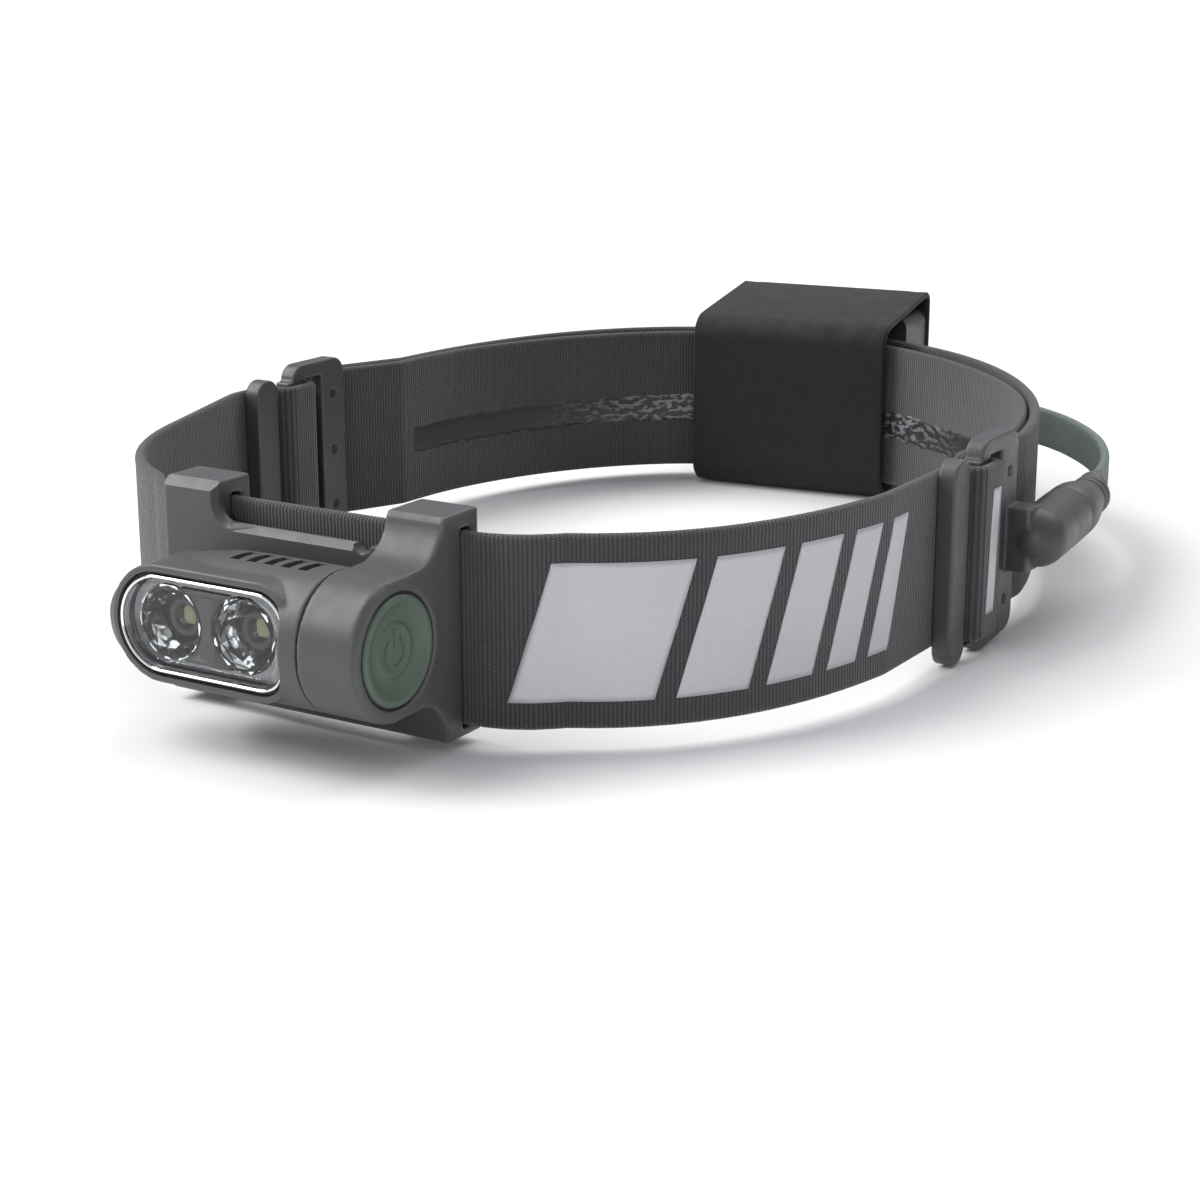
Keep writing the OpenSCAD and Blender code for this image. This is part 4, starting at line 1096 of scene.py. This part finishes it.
# how far the head reaches up, down and forwards, against the distance from its left end
TOP_LINE = [(0, 0), (0.5, 2.3), (1.1, 3.5), (2, 4.7), (3.6, 5.9), (5.7, 7.0), (9.6, 8.5),
            (13.5, 9.7), (17.5, 10.55), (21.4, 11.15), (25, 11.38), (60, 11.4)]
LOW_LINE = [(0, 0), (0.5, 3.6), (1.1, 5.4), (2, 7.0), (3.6, 8.7), (5.7, 9.9), (8, 10.7),
            (12, 11.25), (16, 11.4), (60, 11.4)]
FRONT_LINE = [(0, 0), (0.5, 3.1), (1.1, 4.6), (2, 6.1), (3.6, 7.9), (5.7, 8.9), (9, 9.7),
              (13, 10.3), (18, 10.9), (24, 11.3), (30, 11.4), (60, 11.4)]


def at_line(line, d):
    """A line's reach at a distance from the head's left end."""
    return float(np.interp(d, [p[0] for p in line], [p[1] for p in line]))


def head_loft():
    """Head body: full barrel at the seam, wedge-shaped dome at the left end."""
    stations = [0.02, 0.25, 0.5, 0.8, 1.1, 1.5, 2, 2.7, 3.6, 4.6, 5.7, 7.5, 9.6, 11.5, 13.5,
                15.5, 17.5, 19.5, 21.4, 24, 27, 32, 38, HEAD_RIGHT - HEAD_LEFT]
    rings, steps = [], 72
    for d in stations:
        top, low, front = (at_line(line, d) for line in (TOP_LINE, LOW_LINE, FRONT_LINE))
        rings.append([])
        for k in range(steps):
            a = 2 * math.pi * k / steps
            y, z = math.cos(a), math.sin(a)
            rings[-1].append((HEAD_LEFT + d, AXIS_Y + y * front,
                              AXIS_Z + z * (top if z > 0 else low)))
    return ringed("head_moulding", rings)


LENS_CORNER = 4.6


def lens_outline(d, fine=20):
    """Lens outline grown by d: round at the left, soft corners at the right."""
    half = LENS_H / 2 - 0.3
    left = LENS_X - LENS_W / 2 + LENS_H / 2 + 0.8
    right = LENS_X + LENS_W / 2 - LENS_CORNER
    rise = half - LENS_CORNER
    return (arc(left, LENS_Z, half + d, 90, 270, fine * 2)
            + arc(right, LENS_Z - rise, LENS_CORNER + d, -90, 0, fine)
            + arc(right, LENS_Z + rise, LENS_CORNER + d, 0, 90, fine))


def lens_loops(loops):
    """Rings of the lens outline, each grown by a little and set at a y."""
    return [[(x, y, z) for x, z in lens_outline(grow)] for grow, y in loops]


STUB_R, SCREW_WELL_R, VENT_X, VENT_PITCH, VENTS = 5.6, 1.85, -2.6, 3.35, 5
FAR_FRONT = AXIS_Y - 30
collar = prism("collar", lens_outline(2.35), LENS_Y - 0.35, AXIS_Y + 1, "y")
stub = prism("stub", circle(AXIS_Y, AXIS_Z, STUB_R, 48), HEAD_RIGHT - 2, BOSS_LEFT + 4.8, "x")
head_body = joined("head_moulding", [head_loft(), collar])
moulded(head_body, 0.3, 9)
back_cover = head_body.copy()
back_cover.data = head_body.data.copy()
back_cover.name = "head_cover_moulding"
bpy.context.collection.objects.link(back_cover)
cut(head_body, prism("front_cut", lens_outline(1.25), FAR_FRONT, LENS_Y + 1.25, "y"))
cut(head_body, prism("lens_pocket", lens_outline(0.1), FAR_FRONT, SPLIT_Y - 1.5, "y"))
ALL_HEAD = [(HEAD_LEFT - 2, AXIS_Z - 20), (HEAD_RIGHT + 4, AXIS_Z - 20),
            (HEAD_RIGHT + 4, AXIS_Z + 20), (HEAD_LEFT - 2, AXIS_Z + 20)]
cut(head_body, prism("back_cut", ALL_HEAD, SPLIT_Y, SPLIT_Y + 20, "y"))
for k in range(VENTS):
    x = VENT_X + k * VENT_PITCH
    cut(head_body, prism("vent", [(x - 0.5, AXIS_Y - 2.6), (x + 1.4, AXIS_Y - 2.6),
                                  (x + 2.5, AXIS_Y + 1.4), (x + 0.6, AXIS_Y + 1.4)],
                         AXIS_Z + 9.2, AXIS_Z + 14, "z", "black_plastic"))
cut(back_cover, prism("cover_cut", ALL_HEAD, FAR_FRONT, SPLIT_Y + 0.05, "y"))
for screw_x in (HEAD_LEFT + 18.5, HEAD_RIGHT - 4):
    cut(back_cover, prism("screw_well", circle(screw_x, AXIS_Z + 5.2, SCREW_WELL_R, 24),
                          SPLIT_Y + 0.8, SPLIT_Y + 20, "y"))
head_body = joined("head_moulding", [head_body, stub])
for piece, node_name in ((head_body, "head_shell"), (back_cover, "head_back")):
    settled(shade(without_crumbs(piece), 42), "head", node_name)


def lens_ring(name, outer, inner, low, high, mat, bevel=0.18):
    """A ring of the lens outline with bevelled front edges."""
    loops = lens_loops([(outer, high), (outer, low + bevel), (outer - bevel, low),
                        (inner + bevel, low), (inner, low + bevel), (inner, high)])
    return shade(ringed(name, loops, mat, "head", closed=True), 30)


bezel = lens_ring("lens_rim", 0.62, 0.12, LENS_Y - 0.42, LENS_Y + 1.2, "bright_trim")
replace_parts(bezel, "lens_bezel")
lens_ring("lens_groove", 1.22, 0.64, LENS_Y + 0.35, LENS_Y + 1.3, "black_rubber", 0.1)
LENS_EDGE = [(0.1, LENS_Y + 1.15), (0.1, LENS_Y + 0.1), (-0.2, LENS_Y - 0.22),
             (-0.7, LENS_Y - 0.34), (-1.15, LENS_Y - 0.2), (-1.5, LENS_Y + 0.02)]
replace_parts(shade(ringed("lens_plate", lens_loops(LENS_EDGE), "clear_lens", "head"), 30), "lens")

SPOT_LOW, SPOT_HIGH = box_mm("spot_reflector")
FLOOD_LOW, FLOOD_HIGH = box_mm("flood_reflector")
BOWL_FRONT, BOWL_BACK = SPOT_LOW[1], SPOT_HIGH[1]
BOWL_R = (SPOT_HIGH[0] - SPOT_LOW[0]) / 2 - 0.05
THROAT_R = 2.5


def bowl(tag, x, facets, rings=7):
    """Metallised bowl: flat facets in rings, each ring turned against the last."""
    verts, faces = [], []
    depth = BOWL_BACK - BOWL_FRONT
    for i in range(rings + 1):
        k = i / rings
        r = THROAT_R + (BOWL_R - 0.25 - THROAT_R) * math.sqrt(k)
        for j in range(facets):
            a = 2 * math.pi * (j + (0.5 if i % 2 else 0)) / facets
            verts.append((x + r * math.cos(a), BOWL_BACK - depth * k, LENS_Z + r * math.sin(a)))
    for i in range(rings):
        for j in range(facets):
            m = (j + 1) % facets
            a, b = i * facets + j, i * facets + m
            c, d = (i + 1) * facets + m, (i + 1) * facets + j
            faces += [(a, b, c), (a, c, d)] if i % 2 else [(a, b, d), (b, c, d)]
    base = len(verts)
    for r, y in ((BOWL_R, BOWL_FRONT), (BOWL_R, BOWL_FRONT + 0.5),
                 (THROAT_R + 0.5, BOWL_BACK), (THROAT_R, BOWL_BACK)):
        verts += [(px, y, pz) for px, pz in circle(x, LENS_Z, r, facets)]
    chain = [rings * facets, base, base + facets, base + 2 * facets, base + 3 * facets, 0]
    for one, two in zip(chain, chain[1:]):
        faces += [(one + j, one + (j + 1) % facets, two + (j + 1) % facets, two + j)
                  for j in range(facets)]
    piece = outward(add(tag + "_bowl", verts, faces, "bowl_chrome", "head", smooth=False),
                    JOIN_WITHIN)
    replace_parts(piece, tag + "_reflector")


SPOT_X = (SPOT_LOW[0] + SPOT_HIGH[0]) / 2
FLOOD_X = (FLOOD_LOW[0] + FLOOD_HIGH[0]) / 2
bowl("spot", SPOT_X, 14)
bowl("flood", FLOOD_X, 9)
# radius, and distance in front of the bowls' floor; the black well is a dark ring inside each
# chrome bowl's throat, a painted dark reflection round the LED
WELL = [(3.1, 0.2), (3.1, 2.7), (2.9, 2.9), (2.2, 2.6), (1.75, 1.7), (1.7, 0.2), (3.1, 0.2)]
DOME = [(0.01, 3.1), (0.7, 3.0), (1.3, 2.65), (1.7, 2.1), (1.68, 1.3), (1.6, 1.2), (0.01, 1.2)]
for tag, x in (("spot", SPOT_X), ("flood", FLOOD_X)):
    # the well ring in black plastic is a painted dark reflection inside the chrome bowl
    for part, profile, mat in (("well", WELL, "black_plastic"), ("dome", DOME, "clear_lens")):
        turned(f"{tag}_{part}", [(r, BOWL_BACK - d) for r, d in profile],
               lambda v, x=x: (x + v[0], v[2], LENS_Z + v[1]), mat, "head", 48)


def bowl_plate(name, shrink, near, far, gap, mat):
    """A plate behind the lens, with a hole for each bowl."""
    plate = prism(name, lens_outline(-shrink), BOWL_FRONT + near, BOWL_FRONT + far, "y", mat)
    for x in (SPOT_X, FLOOD_X):
        cut(plate, prism("bowl_hole", circle(x, LENS_Z, BOWL_R + gap, 60),
                         BOWL_FRONT - 2, BOWL_FRONT + 3, "y"))
    return settled(plate, "head")


shade(bowl_plate("lamp_surround", 0.15, 0.35, 0.9, 0.02, "dull_trim"), 30)
mask = bowl_plate("lamp_mask", 1.2, 0.05, 0.4, 0.12, "black_plastic")
MASK_PAST, FAR = 2.6, 40        # how far the mask reaches past each bowl's middle, and a far edge
for low, high in ((-FAR, SPOT_X + MASK_PAST), (FLOOD_X - MASK_PAST, FAR)):
    cut(mask, prism("mask_end", [(low, 0), (high, 0), (high, 50), (low, 50)],
                    BOWL_FRONT - 2, BOWL_FRONT + 3, "y"))


# ---------------------------------------------------------------- sleeve and pad

SLEEVE_YAW = math.radians(6.5)
SLEEVE_AT = np.array([-11.2, HALF_D - 16.9])
SLEEVE_W, SLEEVE_D = 46.5, 34.0
SLEEVE_BACK_H = box_mm("sleeve")[1][2]
SLEEVE_FRONT_H = SLEEVE_BACK_H - 3.7
SLEEVE_FRONT_R, SLEEVE_BACK_R, SLEEVE_WALL, SLEEVE_PUFF = 5.5, 2.5, 1.25, 0.55
HEM_ENDS, CREASE_DEEP, CREASE_HALF = (0.06, 0.94), 0.12, 0.012      # along the width, 0 to 1
PAD_NEAR, PAD_FAR = 1.38, 3.15


def in_sleeve(p):
    """A point of the sleeve's own width, depth and height, where the sleeve stands."""
    c, s = math.cos(SLEEVE_YAW), math.sin(SLEEVE_YAW)
    return (SLEEVE_AT[0] + c * p[0] - s * p[1], SLEEVE_AT[1] + s * p[0] + c * p[1], p[2])


def sleeve_loop(d, puff):
    """Closed section of the sleeve in its depth and height, shrunk by d, crowned by puff."""
    front, back = SLEEVE_FRONT_R, SLEEVE_BACK_R
    spots = [(front, front, front, 180, 270), (SLEEVE_D - back, back, back, 270, 360),
             (SLEEVE_D - back, SLEEVE_BACK_H - back, back, 0, 96),
             (front, SLEEVE_FRONT_H - front, front, 96, 180)]
    corners = [arc(x, z, r - d, a, b, 9) for x, z, r, a, b in spots]
    loop = []
    for k, corner in enumerate(corners):
        loop += corner
        start, end = np.array(corner[-1]), np.array(corners[(k + 1) % 4][0])
        along = (end - start) / np.linalg.norm(end - start)
        out = np.array([along[1], -along[0]])
        for t in np.linspace(0, 1, 14)[1:-1]:
            loop.append(tuple(start + (end - start) * t + out * puff * math.sin(math.pi * t)))
    return loop


def sleeve_shell():
    """Fabric sleeve: outer skin, turned hem and faint crease at both open ends, inner skin."""
    half, wall = SLEEVE_W / 2, SLEEVE_WALL
    hem = [(1.6, wall), (0.35, wall), (0.05, wall - 0.3), (0, wall / 2), (0.05, 0.3),
           (0.35, 0.02)]        # in from the open end, in from the outer skin
    rows = [(x - half, d, 0.0) for x, d in hem]
    for t in np.linspace(0.02, 0.98, 22):
        crease = sum(CREASE_DEEP * math.exp(-((t - at) / CREASE_HALF) ** 2) for at in HEM_ENDS)
        puff = SLEEVE_PUFF * math.sin(math.pi * t) ** 0.6
        rows.append((-half + SLEEVE_W * t, 0.02 + crease, puff))
    rows += [(half - x, d, 0.0) for x, d in hem[::-1]]
    loops = [[in_sleeve((x, *q)) for q in sleeve_loop(d, puff)] for x, d, puff in rows]
    return ringed("sleeve_cover", loops, "sleeve_fabric", "root", closed=True)


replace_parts(sleeve_shell(), "sleeve")


def pad_mesh():
    """Foam pad: crowned block with soft edges, inside the sleeve's front wall."""
    wide, low, high = SLEEVE_W / 2 - 1, 6.0, SLEEVE_FRONT_H - 6.0
    verts, rows, cols = [], 18, 14
    for face, inwards in ((PAD_NEAR, 1), (PAD_FAR, -1)):
        for i in range(rows + 1):
            for j in range(cols + 1):
                a, b = i / rows, j / cols
                edge = min(1, 6 * min(a, 1 - a), 6 * min(b, 1 - b))
                y = face + inwards * 0.28 * (1 - edge) ** 2
                verts.append(in_sleeve((-wide + 2 * wide * a, y, low + (high - low) * b)))
    return outward(add("pad_cushion", verts, block_faces(rows, cols), "pad_foam"))


pad = pad_mesh()
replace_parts(pad, "rear_pad")
